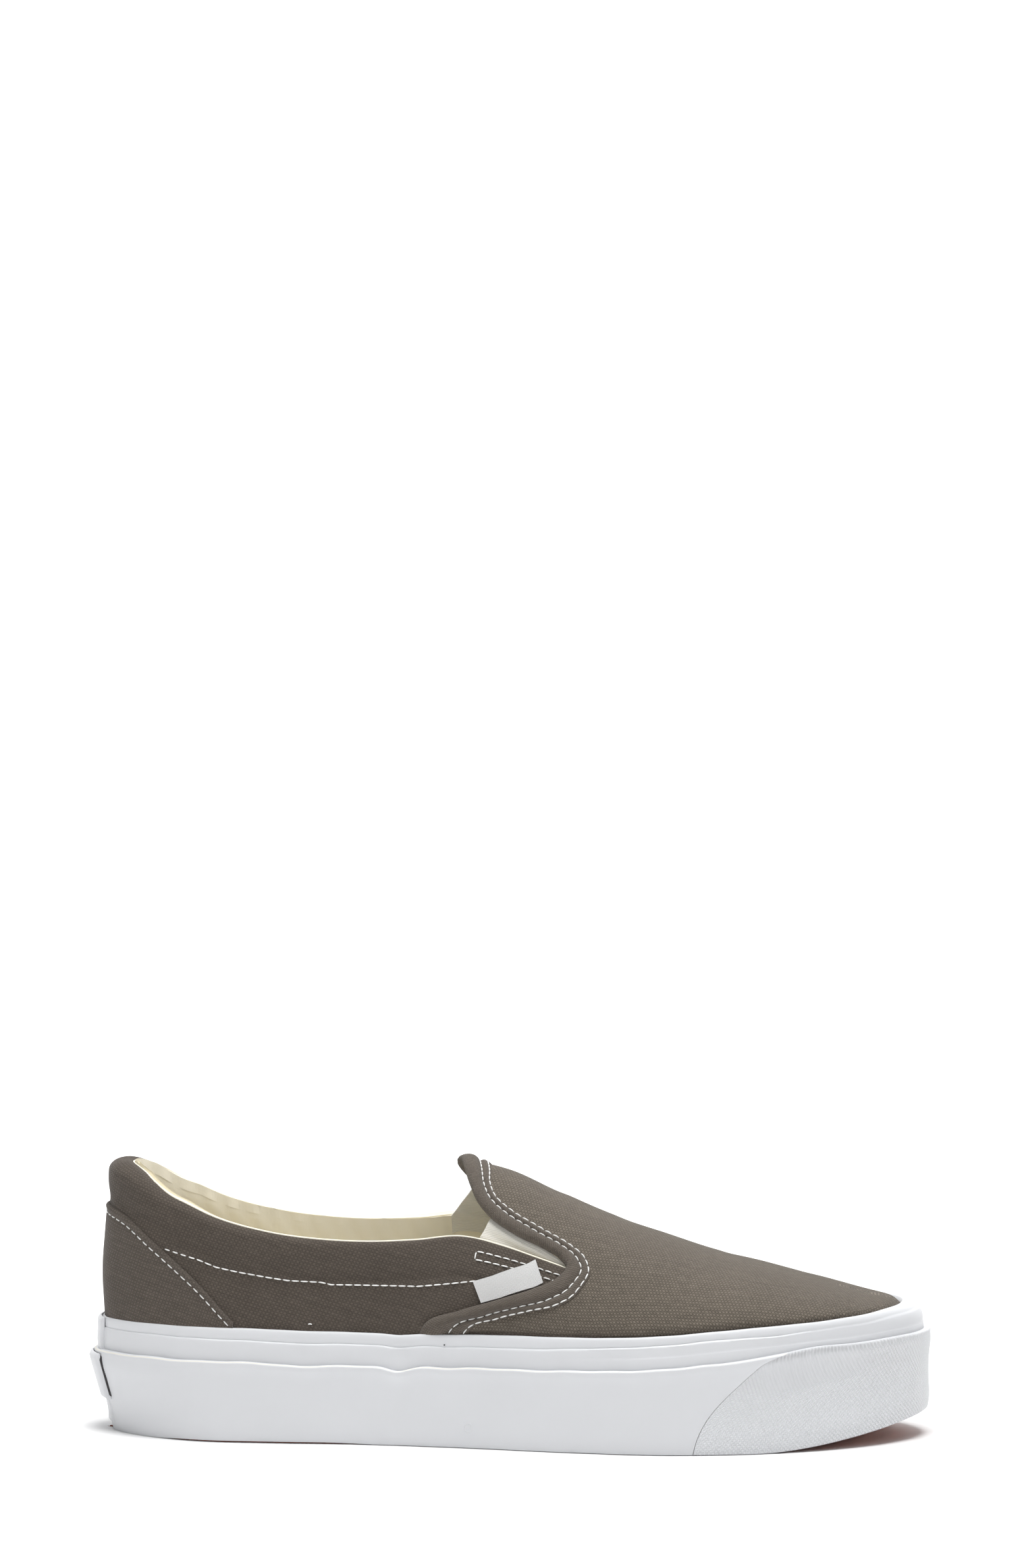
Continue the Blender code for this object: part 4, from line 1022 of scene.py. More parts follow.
def shell_open_crest(name, outer, inner, materials, uv):
    """A closed wall whose grid folds over the crest line: both halves meet in the last row,
    whose doubled points are merged."""
    columns, rows = outer.shape[:2]
    count = columns * rows
    number = np.arange(count).reshape(columns, rows)
    half = columns // 2
    number[half + 1:, -1] = number[half - 1::-1, -1]
    a, b = number[:-1, :-1], number[:-1, 1:]
    c, d = number[1:, 1:], number[1:, :-1]
    front = np.stack([a, b, c, d], axis=-1).reshape(-1, 4)
    back = front[:, ::-1] + count
    low = number[:, 0]
    near, far = number[0], number[-1]
    rims = np.concatenate([
        np.stack([low[1:], low[1:] + count, low[:-1] + count, low[:-1]], axis=-1),
        np.stack([near[:-1], near[:-1] + count, near[1:] + count, near[1:]], axis=-1),
        np.stack([far[1:], far[1:] + count, far[:-1] + count, far[:-1]], axis=-1)])
    faces = np.concatenate([front, back, rims])
    return mesh_object(name, np.stack([outer, inner]), faces, materials, np.stack([uv, uv]))


def make_binding():
    """The bound strip: STRIP_SECTION carried along the vamp's rear edge, over the flap."""
    first_row = 6
    columns = {name: column[first_row:, None] for name, column in rear_edge(150).items()}
    share = STRIP_SECTION["share"][None]
    rise = 0.001 * STRIP_SECTION["rise"][None]
    halves = []
    for side in (-1, 1):
        turn, level = strip_place(columns, share, side)
        reached = columns["level"] + share * (columns["border_level"] - columns["level"])
        over = np.maximum(reached - 1.0, 0.0)
        ring = offset_surface(turn, level - over, vamp_lift(turn, level) + rise)
        halves.append(ring)
    middle = 0.5 * (halves[0][-1] + halves[1][-1])
    rings = np.concatenate([halves[0][:-1], middle[None], halves[1][-2::-1]])
    obj = swept("vamp_binding_strip", rings, [finishes()["bias_strip"]], sharp=60)
    return rides(obj, "canvas", "vamp_binding")


def make_counter():
    """The heel counter: a thin canvas triangle on each side with a rolled upper edge."""
    end = turn_at(COUNTER["along"][-1], 1)
    turn = np.linspace(-end, end, 240)[:, None]
    foot = side_height(turn, "top") - 0.003
    top = read(COUNTER, "top", column_along(turn)) * HEEL_HEIGHT
    share = np.concatenate([np.linspace(0, 0.80, 20), np.linspace(0.82, 1.0, 16)])[None]
    height = foot + share * (top - foot)
    below = (top - height) * 1000
    roll = 0.38 * np.exp(-((below - 1.2) / 0.75) ** 2) - 0.25 * np.exp(-((below - 3.0) / 0.5) ** 2)
    thick = (0.0006 + 0.001 * roll) * ease((below + 0.05) / 0.7) + 0.00005
    level = level_at(turn, height)
    outer = offset_surface(turn, level, 0.0001 + thick)
    inner = offset_surface(turn, level, -0.0002)
    return rides(shell("heel_counter_canvas", outer, inner, [finishes()["counter_canvas"]]),
                 "canvas", "heel_counter")


def make_gores():
    """The elastic in both V notches, from behind the quarter to under the flap, with soft
    waves along its ribs. Its free rear edge slants forward as it rises."""
    made = []
    upper = slice(np.argmax(VAMP_REAR["along"]), None)
    flap_along, flap_level = (VAMP_REAR[name][upper][::-1] for name in ("along", "level"))
    for name, side, node, rear, slant in (("gore_outer", -1, "gore_lateral", 0.461, 0.016),
                                          ("gore_inner", 1, "gore_medial", 0.425, 0.031)):
        along = np.linspace(rear, GORE_FRONT, 60)[:, None]
        lean = slant * (1 - ease((along - rear) / 0.06))
        edge_top = collar_top(turn_at(along, side))
        flap = np.interp(along + lean, flap_along, flap_level)
        flap_height = last_surface(turn_at(along + lean, side), flap)[..., 2]
        low = -QUARTER_WALL - 2 * GAP
        high = VAMP_STEP - VAMP_WALL - 2 * GAP
        share = np.linspace(-0.25, 1.3, 44)[None]
        opening = np.maximum(flap_height - edge_top, 0.0015)
        height = edge_top + share * opening - 0.004 * ease(-share * 4)
        turn = turn_at(along + lean * np.clip(share, 0, 1.1), side)
        level = level_at(turn, np.minimum(height, edge_top + opening + 0.004))
        offset = low + ease(share) * (high - low)
        offset = offset + 0.00025 * np.sin(share * 9 + along * 40) * ease(4 * share * (1 - share))
        outer = offset_surface(turn, level, offset)
        inner = offset_surface(turn, level, offset - CANVAS_THICK)
        made.append(rides(shell(name, outer, inner, [finishes()["gore_elastic"]]), "elastic", node))
    return made


def make_tab():
    """The small woven tab, bare, folded at its free edges and tucked under the bound strip."""
    lower = slice(0, np.argmax(VAMP_REAR["along"]) + 1)
    along = np.linspace(TAB_REAR, TAB_FRONT, 30)[:, None]
    edge = np.interp(along, VAMP_REAR["along"][lower], VAMP_REAR["level"][lower])
    edge_height = last_surface(turn_at(along, -1), edge)[..., 2] + 0.0002
    share = np.linspace(0.0, 1.0, 14)[None]
    turn = turn_at(along - TAB_LEAN * share, -1)
    level = level_at(turn, edge_height + share * TAB_WIDTH)
    fold = sum(0.0002 * np.exp(-((along - end) / 0.004) ** 2) for end in (TAB_REAR, TAB_FRONT))
    lift = 0.0009 + 0.0005 * ease(share) + fold
    outer = offset_surface(turn, level, lift)
    inner = offset_surface(turn, level, lift - 0.0007)
    return rides(shell("side_tab_woven", outer, inner, [finishes()["woven_tab"]]), "elastic", "side_tab")


def make_stitches():
    """Rows of white stitches on strip, collar, counter and quarter, each along its own route."""
    s = settings()
    thread = finishes()["sewing_thread"]
    size = (s.stitch_pitch, s.stitch_length, s.thread_radius)
    made = []

    def row(name, turn, level, lift, skip=0.0):
        path = offset_surface(turn, level, lift)
        made.append(stitch_row(name, path, normal_at(turn, level), thread, *size, skip))

    edge = rear_edge(600)
    start = np.argmax(edge["level"] > -0.05)
    for label, share, rise in (("rear", 0.64, 0.00030), ("front", 0.95, 0.00050)):
        halves = []
        for side in (-1, 1):
            one = {name: column[start:] for name, column in edge.items()}
            turn, level = strip_place(one, share, side)
            lift = vamp_lift(turn, level) + rise
            halves.append((offset_surface(turn, level, lift), normal_at(turn, level)))
        path = np.concatenate([halves[0][0][:-1], halves[1][0][::-1]])
        normals = np.concatenate([halves[0][1][:-1], halves[1][1][::-1]])
        made.append(stitch_row(f"strip_stitches_{label}", path, normals, thread, *size))

    for side, label in ((-1, "outer"), (1, "inner")):
        along = np.linspace(COLLAR_STITCH["along"][0], COLLAR_STITCH["along"][-1], 500)
        turn = turn_at(along, side)
        height = np.interp(along, COLLAR_STITCH["along"], COLLAR_STITCH["height"]) * HEEL_HEIGHT
        row(f"collar_stitches_{label}", turn, level_at(turn, height), -0.00030)

        for k, (first, last, drop_a, drop_b) in enumerate((
                (0.461, 0.590, 4.6, 3.2), (0.459, 0.587, 7.4, 5.4))):
            along = np.linspace(first, last, 300)
            turn = turn_at(along, side)
            drop = 0.001 * np.linspace(drop_a, drop_b, 300)
            row(f"box_stitches_{label}_{k}", turn, level_at(turn, collar_top(turn) - drop), 0.0001)
        share = np.linspace(0, 1, 60)
        turn = turn_at(0.461 - 0.002 * share, side)
        drop = 0.0046 + 0.0028 * share
        row(f"box_end_{label}", turn, level_at(turn, collar_top(turn) - drop), 0.0001)

    end = turn_at(0.160, 1)
    turn = np.linspace(-end, end, 900)
    top = read(COUNTER, "top", column_along(turn)) * HEEL_HEIGHT
    height = top - 0.0030
    row("counter_stitches", turn, level_at(turn, height), 0.00042)
    return made


# Pieces of the sole

def edge_wave(turn):
    """Rise of the hand-laid edges: a sum of soft bumps along the shoe, outer side first."""
    along = column_along(turn)
    total = np.zeros_like(along)
    for place, rise, width in zip(*WAVES.values()):
        total = total + 0.001 * rise * np.exp(-((along - place) / width) ** 2)
    slow = 0.00018 * np.sin(along * 47 + turn * 3) + 0.00010 * np.sin(along * 113)
    return total * np.where(turn < 0, 1.0, 0.5) + slow


def band_top(turn):
    """Height of the top edge of the band and bumper."""
    calm = ease((column_along(turn) - 0.72) / 0.06)
    return side_height(turn, "band") + edge_wave(turn) * (1 - calm)


def band_level(turn, share):
    """The level at a share of the band's height, from its foot to its top. The foot stands a
    little off the floor under the heel."""
    along = column_along(turn)
    lifted = ease((along - 0.07) / 0.04) * (1 - ease((along - 0.27) / 0.08))
    foot = spring(turn) + BAND_FOOT + 0.0004 * lifted
    return level_at(turn, foot + share * (band_top(turn) - foot))


def ring_columns(count):
    """Evenly spaced turns, once round."""
    return (np.arange(count) / count * 2 - 1)[:, None]


def make_strip():
    """The inner strip round the whole shoe. Its rows follow the two lines on it, where its
    thickness steps; the top edge is rounded, and at the toe the strip closes on the canvas."""
    turn = ring_columns(520)
    along = column_along(turn)
    top = side_height(turn, "top") + 0.3 * edge_wave(turn)
    line = side_height(turn, "line") + 0.5 * edge_wave(turn)
    second = side_height(turn, "second")
    low = spring(turn) + LIP_HEIGHT + GAP
    under = band_top(turn) - 0.002
    toe = ease((along - 0.56) / 0.12)
    fade = 1 - ease((along - 0.80) / 0.10)
    heights, thick = [], []

    def rows(height, thickness):
        heights.append(np.broadcast_to(height, turn.shape))
        thick.append(np.broadcast_to(thickness, turn.shape))

    second_step = 0.00025 * toe
    for share in (0.0, 0.3, 0.6, 1.0):
        rows(low + share * (under - low), STRIP_THICK)
    full = STRIP_THICK + second_step
    for share in (0.25, 0.6, 0.9):
        rows(under + share * (second - under), full)
    rows(second - 0.00012, full - 0.0001 * toe)
    rows(second + 0.00012, STRIP_THICK - 0.00005 * toe)
    for share in (0.2, 0.45, 0.7, 0.9):
        rows(second + share * (line - second), STRIP_THICK)
    rows(line - 0.00035, STRIP_THICK - 0.00004 * fade)
    rows(line - 0.0001, STRIP_THICK - 0.00022 * fade)
    soft = STRIP_LIP + 0.0003 * (1 - fade)
    rows(line + 0.0001, soft - 0.00012 * fade)
    rows(line + 0.0004, soft)
    for share in (0.25, 0.5, 0.75):
        rows(line + share * (top - line), soft + 0.00015 * np.sin(np.pi * share))
    for a in np.radians([30, 50, 70, 85]):
        rows(top - STRIP_ROUND * (1 - np.sin(a)), soft - STRIP_ROUND * (1 - np.cos(a)))
    height = np.concatenate(heights, axis=1)
    thickness = np.concatenate(thick, axis=1)
    dent = (0.00035 * np.exp(-((along - 0.245) / 0.012) ** 2)
            + 0.0006 * np.exp(-((along - 0.372) / 0.014) ** 2))
    dent = dent * (turn < 0) * np.exp(-((height - 0.0315) / 0.004) ** 2)
    level = level_at(turn, height)
    outer = offset_surface(turn, level, GAP + thickness - dent)
    close = 0.00065 * ease((along - 0.88) / 0.06)
    inner = offset_surface(turn, level, GAP * 0.5 - close)
    return rides(shell("side_strip", outer, inner, [finishes()["side_rubber"]], wrap=True, sharp=50),
                 "white_rubber", "foxing_strip")


def band_rows():
    """Shares of the band's height, close together at the edges, and the bulge at each."""
    share = np.concatenate([
        np.linspace(0, 0.1, 6), np.linspace(0.14, 0.90, 22), np.linspace(0.92, 0.985, 6)])
    lip = np.array([0.992, 0.998, 1.0])
    bulge = read(BAND_PROFILE, "bulge", np.minimum(share, 0.93), "height")
    bulge = np.concatenate([bulge, [0.90, 0.80, 0.62]])
    return np.concatenate([share, lip])[None], bulge[None]


def bumper_ends(share):
    """Turn of the bumper's rear edge at each share of the height."""
    return turn_at(read(BUMPER_EDGE, "along", share, "height"), 1)


def make_band():
    """The wide band from the bumper round the heel, bulged by BAND_PROFILE, with a cream cut
    edge along its top."""
    share, bulge = band_rows()
    ends = bumper_ends(share) - 0.0005
    t = np.linspace(-1, 1, 520)[:, None]
    turn = t * ends
    level = band_level(turn, share)
    along = column_along(turn)
    swell = 0.00018 * np.sin(along * 31 + 1.0) * np.sin(np.pi * share)
    dent = 0.0005 * np.exp(-((along - 0.372) / 0.014) ** 2) * (turn < 0) * ease((share - 0.75) / 0.25)
    distance = 2 * GAP + STRIP_THICK + BAND_THICK * bulge + swell - dent
    outer = offset_surface(turn, level, distance)
    inner = offset_surface(turn, level, GAP + STRIP_THICK)
    faces = np.zeros((len(t) - 1, share.shape[1] - 1), dtype=int)
    faces[:, -2:] = 1
    obj = shell("side_band", outer, inner, [finishes()["side_rubber"], finishes()["cut_edge"]],
                sharp=50, outer_slots=faces.ravel())
    return rides(obj, "white_rubber", "foxing_band")


def make_bumper():
    """The toe bumper, slightly hollow at mid height; its finish carries the small diamonds."""
    share, bulge = band_rows()
    ends = bumper_ends(share)
    t = np.linspace(0, 1, 281)[:, None]
    turn = ends + t * (2 - 2 * ends)
    hollow = BUMPER_HOLLOW * np.sin(np.pi * share) ** 2 * ease(4 * np.minimum(t, 1 - t))
    level = band_level(turn, share)
    outer = offset_surface(turn, level, 2 * GAP + STRIP_THICK + BAND_THICK * bulge - hollow)
    inner = offset_surface(turn, level, GAP + STRIP_THICK)
    return rides(shell("toe_bumper_moulded", outer, inner, [finishes()["bumper_rubber"]], sharp=50),
                 "white_rubber", "toe_bumper")


def heel_turns(half_width, count):
    """Columns over the middle of the heel's back."""
    return (np.linspace(-1, 1, count) * half_width / (0.5 * PERIMETER))[:, None]


def swell_inwards(turn, share, up, across, rim):
    """1 inside a heel piece and less at its rim: ease(up e + r) * ease(across f + r), with e
    and f the distances from its edges in shares."""
    high = ease(up * np.minimum(share, 1 - share) + rim)
    return high * ease(across * (1 - np.abs(turn) / np.abs(turn[0])) + rim)


def make_heel_pieces():
    """The joint strip at the back of the heel, the bare plate over a near-black sheet whose rim
    shows as painted shade along the plate's raised edge, and the joint's foot under it."""
    turn = heel_turns(HEEL_STRIP_HALF, 40)
    low = band_top(turn) - 0.001
    top = side_height(turn, "top")
    share = np.linspace(0, 1, 14)[None]
    level = level_at(turn, low + share * (top - low))
    bulge = ease(12 * np.minimum(share, 1 - share) + 0.4)
    bulge = bulge * ease(14 * (1 - np.abs(turn) / np.abs(turn[0])) + 0.3)
    outer = offset_surface(turn, level, GAP + STRIP_THICK + 0.0012 * bulge)
    inner = offset_surface(turn, level, GAP + STRIP_THICK - 0.0001)
    made = [rides(shell("heel_joint_strip", outer, inner, [finishes()["side_rubber"]]),
                  "white_rubber", "heel_strip")]

    base = 2 * GAP + STRIP_THICK + BAND_THICK
    # The first piece is a near-black sheet a little larger than the plate, under it: its rim is painted
    # shade along the plate's edge.
    for name, grow, low_off, high_off, finish in (
            ("heel_plate_shade_rim", 0.0004, -0.0002, 0.0012, "plate_rim_shade_and_dot_black"),
            ("heel_plate", 0.0, 0.0006, 0.0019, "side_rubber")):
        turn = heel_turns(PATCH_HALF + grow, 48)
        top = side_height(turn, "band") - 2 * GAP - 2 * grow
        bottom = PATCH_BOTTOM + 2 * grow
        share = np.linspace(0, 1, 30)[None]
        level = level_at(turn, bottom + share * (top - bottom))
        soft = swell_inwards(turn, share, 9, 9, 0.35)
        outer = offset_surface(turn, level, base + low_off + (high_off - low_off) * soft)
        inner = offset_surface(turn, level, base + low_off - 0.0003)
        plate = shell(name, outer, inner, [finishes()[finish]], sharp=60)
        made.append(rides(plate, "white_rubber", "heel_patch"))

    turn = heel_turns(0.0095, 30)
    share = np.linspace(0, 1, 12)[None]
    level = level_at(turn, 0.0028 + share * 0.0105)
    soft = swell_inwards(turn, share, 8, 9, 0.3)
    outer = offset_surface(turn, level, base - 0.0004 + 0.0009 * soft)
    inner = offset_surface(turn, level, base - 0.0009)
    foot = shell("heel_joint_foot", outer, inner, [finishes()["side_rubber"]])
    made.append(rides(foot, "white_rubber"))
    return made


def disc(name, rings, materials, slot, *nodes):
    """A closed solid of rings round the shoe, from the middle of its underside out, up and
    back to the middle of its top; the first and last ring are a seam along the middle."""
    count = rings.shape[0]
    half = count // 2
    number = np.arange(rings.shape[0] * rings.shape[1]).reshape(rings.shape[:2])
    for k in (0, -1):
        number[half + 1:, k] = number[half - 1:0:-1, k]
    number = np.concatenate([number, number[:1]])
    a, b = number[:-1, :-1], number[:-1, 1:]
    c, d = number[1:, 1:], number[1:, :-1]
    faces = np.stack([a, b, c, d], axis=-1).reshape(-1, 4)
    uv = rings[..., :2]
    obj = mesh_object(name, rings, faces, materials, uv, sharp=35)
    return rides(obj, slot, *nodes)


def middle_line(turn):
    """Places in plan of the line midway between both sides, one for each column."""
    one, other = outline_at(turn), outline_at(-turn)
    along, across = 0.5 * (one[0] + other[0]), 0.5 * (one[1] + other[1])
    return np.concatenate([(along - 0.5) * LAST_LENGTH, across * BALL_WIDTH], axis=1)


def tread(x, y):
    """Depth of the tread: cross grooves every 10.5 mm, and small diamonds between them."""
    along = x / LAST_LENGTH + 0.5
    place = (along - 0.05) * LAST_LENGTH / GROOVE_PITCH
    near = np.abs(place - np.round(place)) * GROOVE_PITCH
    groove = 1 - ease((near - 0.0011) / 0.0006)
    flat = ((along > 0.045) & (along < 0.79) & ((along < 0.30) | (along > 0.47))).astype(float)
    diamonds = np.abs(np.sin((x + y) * np.pi / TREAD_DIAMOND) * np.sin((x - y) * np.pi / TREAD_DIAMOND))
    return GROOVE_DEPTH * np.maximum(groove * flat, 0.45 * ease((0.25 - diamonds) / 0.2))


def make_outsole():
    """The gum rubber bottom with its tread, lip and seat."""
    turn = ring_columns(560)
    floor = spring(turn)
    centre = middle_line(turn)
    lip = GAP + STRIP_THICK - 0.0001
    bed = -QUARTER_WALL - GAP
    rings = []
    rim = offset_surface(turn, level_at(turn, floor), lip)[:, 0]
    for share in np.concatenate([np.linspace(0, 0.96, 30), [0.985, 1.0]]):
        xy = centre + share * (rim[:, :2] - centre)
        margin = ease((1 - share) * 6)
        z = floor[:, 0] + tread(xy[:, 0], xy[:, 1]) * margin
        rings.append(np.concatenate([xy, z[:, None]], axis=1))
    for height, distance in ((LIP_HEIGHT, lip), (LIP_HEIGHT, 0.0), (WALL_SEAT, 0.0),
                             (WALL_SEAT, bed), (FOOTBED_HEIGHT, bed)):
        ring = offset_surface(turn, level_at(turn, floor + height), distance)[:, 0]
        ring[:, 2] = floor[:, 0] + height
        rings.append(ring)
    top = rings[-1]
    rings.append(np.concatenate([centre, top[:, 2:]], axis=1))
    rings = np.stack(rings, axis=1)
    return disc("gum_outsole", rings[::-1], [finishes()["gum_rubber_sole"]], "gum_rubber", "outsole")


def make_insole():
    """The footbed: a dished cloth-covered sheet inside the wall."""
    turn = ring_columns(360)
    floor = spring(turn)[:, 0] + FOOTBED_HEIGHT + GAP
    centre = middle_line(turn)
    rim = offset_surface(turn, level_at(turn, floor[:, None]), -QUARTER_WALL - GAP)[:, 0]
    rings = [np.concatenate([plan, floor[:, None]], axis=1) for plan in (centre, rim[:, :2])]
    for share in np.concatenate([[1.0, 0.985], np.linspace(0.95, 0.0, 22)]):
        xy = centre + share * (rim[:, :2] - centre)
        edge = np.minimum((1 - share) / 0.22, 1.0)
        z = floor + INSOLE_THICK - INSOLE_DISH * ease(edge) - (0.0004 if share == 1.0 else 0.0)
        rings.append(np.concatenate([xy, z[:, None]], axis=1))
    rings = np.stack(rings, axis=1)
    return disc("footbed", rings[::-1], [finishes()["footbed_cloth"]], "lining", "insole")


def make_marks():
    """Small marks on the outer side: a moulded ring on the band, a dot beside it and a fleck
    of lint on the canvas."""
    made = []
    base = 2 * GAP + STRIP_THICK + BAND_THICK
    for name, along, height, radius, tube, finish in (
            ("moulded_ring", 0.4555, 0.0075, 0.0014, 0.00025, "side_rubber"),
            ("dark_dot", 0.4240, 0.0352, 0.00014, 0.00012, "plate_rim_shade_and_dot_black")):
        turn0 = turn_at(along, -1)
        level0 = level_at(turn0, height)
        lift = base if name == "moulded_ring" else GAP + STRIP_THICK
        centre = offset_surface(turn0, level0, lift - 0.0001)
        out = normal_at(np.asarray(turn0, dtype=float), level0)
        side = np.cross(np.array([0.0, 0.0, 1.0]), out)
        side /= np.linalg.norm(side)
        up = np.cross(out, side)
        a = np.linspace(0, 2 * np.pi, 33)[:-1][:, None, None]
        b = np.linspace(0, 2 * np.pi, 9)[:-1][None, :, None]
        ring = (radius + tube * np.cos(b)) * (np.cos(a) * side + np.sin(a) * up)
        points = centre + ring + tube * np.sin(b) * out
        number = np.arange(32 * 8).reshape(32, 8)
        number = np.concatenate([number, number[:1]])
        number = np.concatenate([number, number[:, :1]], axis=1)
        faces = np.stack([number[:-1, :-1], number[1:, :-1], number[1:, 1:], number[:-1, 1:]], axis=-1)
        mark = mesh_object(name, points, faces.reshape(-1, 4), [finishes()[finish]])
        made.append(rides(mark, "white_rubber"))
    turn = np.full(60, turn_at(0.262, -1)) + np.linspace(0, 0.006, 60)
    level = level_at(turn, 0.0408 + 0.0004 * np.sin(np.linspace(0, 3, 60)))
    path = offset_surface(turn, level, 0.0002)
    made.append(stitch_row("lint_fleck", path, normal_at(turn, level), finishes()["sewing_thread"],
                           0.0021, 0.0016, 0.0002))
    return made


def make_stage():
    """A pale floor that curves up behind, soft lights, and the camera at the photograph's
    angle: the sight line to the shoe's middle has the stage's azimuth and elevation."""
    s = settings()
    width = np.linspace(-2.5, 2.5, 3)[:, None]
    bend = np.linspace(0, np.pi / 2, 16)
    y = np.concatenate([[-4.0, 1.4], 1.4 + 0.8 * np.sin(bend[1:]), [2.2]])[None]
    z = np.concatenate([[0.0, 0.0], 0.8 * (1 - np.cos(bend[1:])), [3.0]])[None]
    points = np.stack(np.broadcast_arrays(width, y, z), axis=-1)
    n = Nodes("studio_paper", roughness=0.9, specular=0.1)
    away = n.add("ShaderNodeVectorMath", {0: n.object_place()}, operation="LENGTH").outputs["Value"]
    n.shader.inputs["Emission Color"].default_value = (1.0, 1.0, 1.0, 1.0)
    n.feed(n.shader.inputs["Emission Strength"], n.spread(away, 0.3, 1.2, 0.0, s.paper_glow))
    n.finish((0.93, 0.93, 0.93, 1.0))
    faces = grid_faces(3, points.shape[1])[:, ::-1]
    mesh_object("studio_floor", points, faces, [n.material], solid=False)

    world = bpy.data.worlds.new("studio_air")
    world.use_nodes = True
    background = world.node_tree.nodes["Background"]
    background.inputs[0].default_value = (1.0, 1.0, 1.0, 1.0)
    background.inputs[1].default_value = s.air_light
    bpy.context.scene.world = world
    for name, place, size, watts in (("top_light", (0.1, -0.2, 1.6), 1.1, s.top_light),
                                     ("front_light", (-0.9, -1.9, 1.2), 1.2, s.front_light)):
        lamp = bpy.data.lights.new(name, "AREA")
        lamp.shape = "DISK"
        lamp.size = size
        lamp.energy = watts
        lamp_object = bpy.data.objects.new(name, lamp)
        bpy.context.scene.collection.objects.link(lamp_object)
        lamp_object.location = place
        aim = np.array([0.0, 0.0, 0.05]) - np.array(place)
        lamp_object.rotation_euler = look_along(aim)

    azimuth, elevation = s.camera_azimuth, s.camera_elevation
    sight = np.array([-np.sin(azimuth) * np.cos(elevation), np.cos(azimuth) * np.cos(elevation),
                      -np.sin(elevation)])
    middle = np.array([0.0, 0.0031, 0.045])
    below = SHOE_PIXEL_ROW - 0.5 * PHOTO_HEIGHT
    tilt = np.arctan(below / (PIXELS_PER_METRE * s.camera_distance))
    pitch = elevation - tilt
    focal = PIXELS_PER_METRE * s.camera_distance * np.cos(tilt)
    camera = bpy.data.cameras.new("photo_camera")
    camera.sensor_width = 36.0
    camera.lens = 36.0 * focal / PHOTO_HEIGHT
    camera.clip_end = 20.0
    camera_object = bpy.data.objects.new("photo_camera", camera)
    bpy.context.scene.collection.objects.link(camera_object)
    camera_object.location = (middle - sight * s.camera_distance).tolist()
    camera_object.rotation_euler = (np.pi / 2 - pitch, 0.0, azimuth)
    bpy.context.scene.camera = camera_object
    bpy.context.scene.view_settings.view_transform = "Standard"


def look_along(direction):
    """Euler angles of a light that shines along a direction."""
    x, y, z = direction / np.linalg.norm(direction)
    return (np.arccos(-z), 0.0, np.arctan2(y, x) - np.pi / 2)


# Add-on

class SneakerSizes(bpy.types.PropertyGroup):
    """Sizes of the finer parts, and the studio."""
    thread_pitch: bpy.props.FloatProperty(
        name="Weave pitch", description="Width of one cell of the canvas weave",
        default=0.00120, min=0.0004, max=0.003, precision=5, subtype="DISTANCE", unit="LENGTH")
    stitch_pitch: bpy.props.FloatProperty(
        name="Stitch pitch", description="Distance from one stitch to the next",
        default=0.0031, min=0.0015, max=0.006, precision=4, subtype="DISTANCE", unit="LENGTH")
    stitch_length: bpy.props.FloatProperty(
        name="Stitch length", description="Visible length of a stitch",
        default=0.0027, min=0.001, max=0.005, precision=4, subtype="DISTANCE", unit="LENGTH")
    thread_radius: bpy.props.FloatProperty(
        name="Thread radius", description="Half the thickness of the sewing thread",
        default=0.00024, min=0.0001, max=0.0008, precision=5, subtype="DISTANCE", unit="LENGTH")
    diamond_height: bpy.props.FloatProperty(
        name="Diamond height", description="Height of the small diamonds on the toe bumper",
        default=0.00035, min=0.0, max=0.001, precision=5, subtype="DISTANCE", unit="LENGTH")
    camera_azimuth: bpy.props.FloatProperty(
        name="Camera azimuth", description="Turn of the camera round the shoe",
        default=np.radians(3.0), subtype="ANGLE")
    camera_elevation: bpy.props.FloatProperty(
        name="Camera elevation", description="Angle of the sight line above the floor",
        default=np.radians(8.0), subtype="ANGLE")
    camera_distance: bpy.props.FloatProperty(
        name="Camera distance", description="Distance from the camera to the shoe",
        default=2.3, min=0.5, max=10.0, subtype="DISTANCE", unit="LENGTH")
    air_light: bpy.props.FloatProperty(
        name="Ambient light", description="Strength of the even studio light", default=0.24, min=0.0)
    paper_glow: bpy.props.FloatProperty(
        name="Paper glow", description="How brightly the paper behind the shoe is lit",
        default=0.90, min=0.0)
    top_light: bpy.props.FloatProperty(
        name="Top light", description="Power of the large light above, in watts",
        default=33.0, min=0.0)
    front_light: bpy.props.FloatProperty(
        name="Front light", description="Power of the light beside the camera, in watts",
        default=3.5, min=0.0)


def colour_property(name, description, default):
    """A colour for the panel."""
    return bpy.props.FloatVectorProperty(name=name, description=description, default=default,
                                         subtype="COLOR", size=3, min=0.0, max=1.0)


class SneakerColours(bpy.types.PropertyGroup):
    """Colours of the cloth, rubber and lining."""
    vamp: colour_property("Vamp canvas", "Canvas of the vamp", (0.120, 0.102, 0.082))
    quarter: colour_property("Quarter canvas", "Canvas of the sides", (0.082, 0.068, 0.056))
    counter: colour_property("Counter canvas", "Canvas of the heel counter", (0.095, 0.080, 0.067))
    binding: colour_property("Binding", "Bias strip along the vamp's edge", (0.118, 0.100, 0.083))
    lining: colour_property("Lining", "Collar lining and inside", (0.90, 0.85, 0.71))
    elastic: colour_property("Elastic", "Side gores", (0.74, 0.72, 0.66))
    rubber: colour_property("Rubber", "White rubber of the sole's side", (0.665, 0.675, 0.695))
    gum: colour_property("Gum rubber", "Rubber of the outsole", (0.36, 0.12, 0.075))


class SNEAKER_OT_stage(bpy.types.Operator):
    """Build the studio floor, the lights and the camera"""
    bl_idname = "sneaker.stage"
    bl_label = "Studio"

    def execute(self, context):
        make_stage()
        return {"FINISHED"}


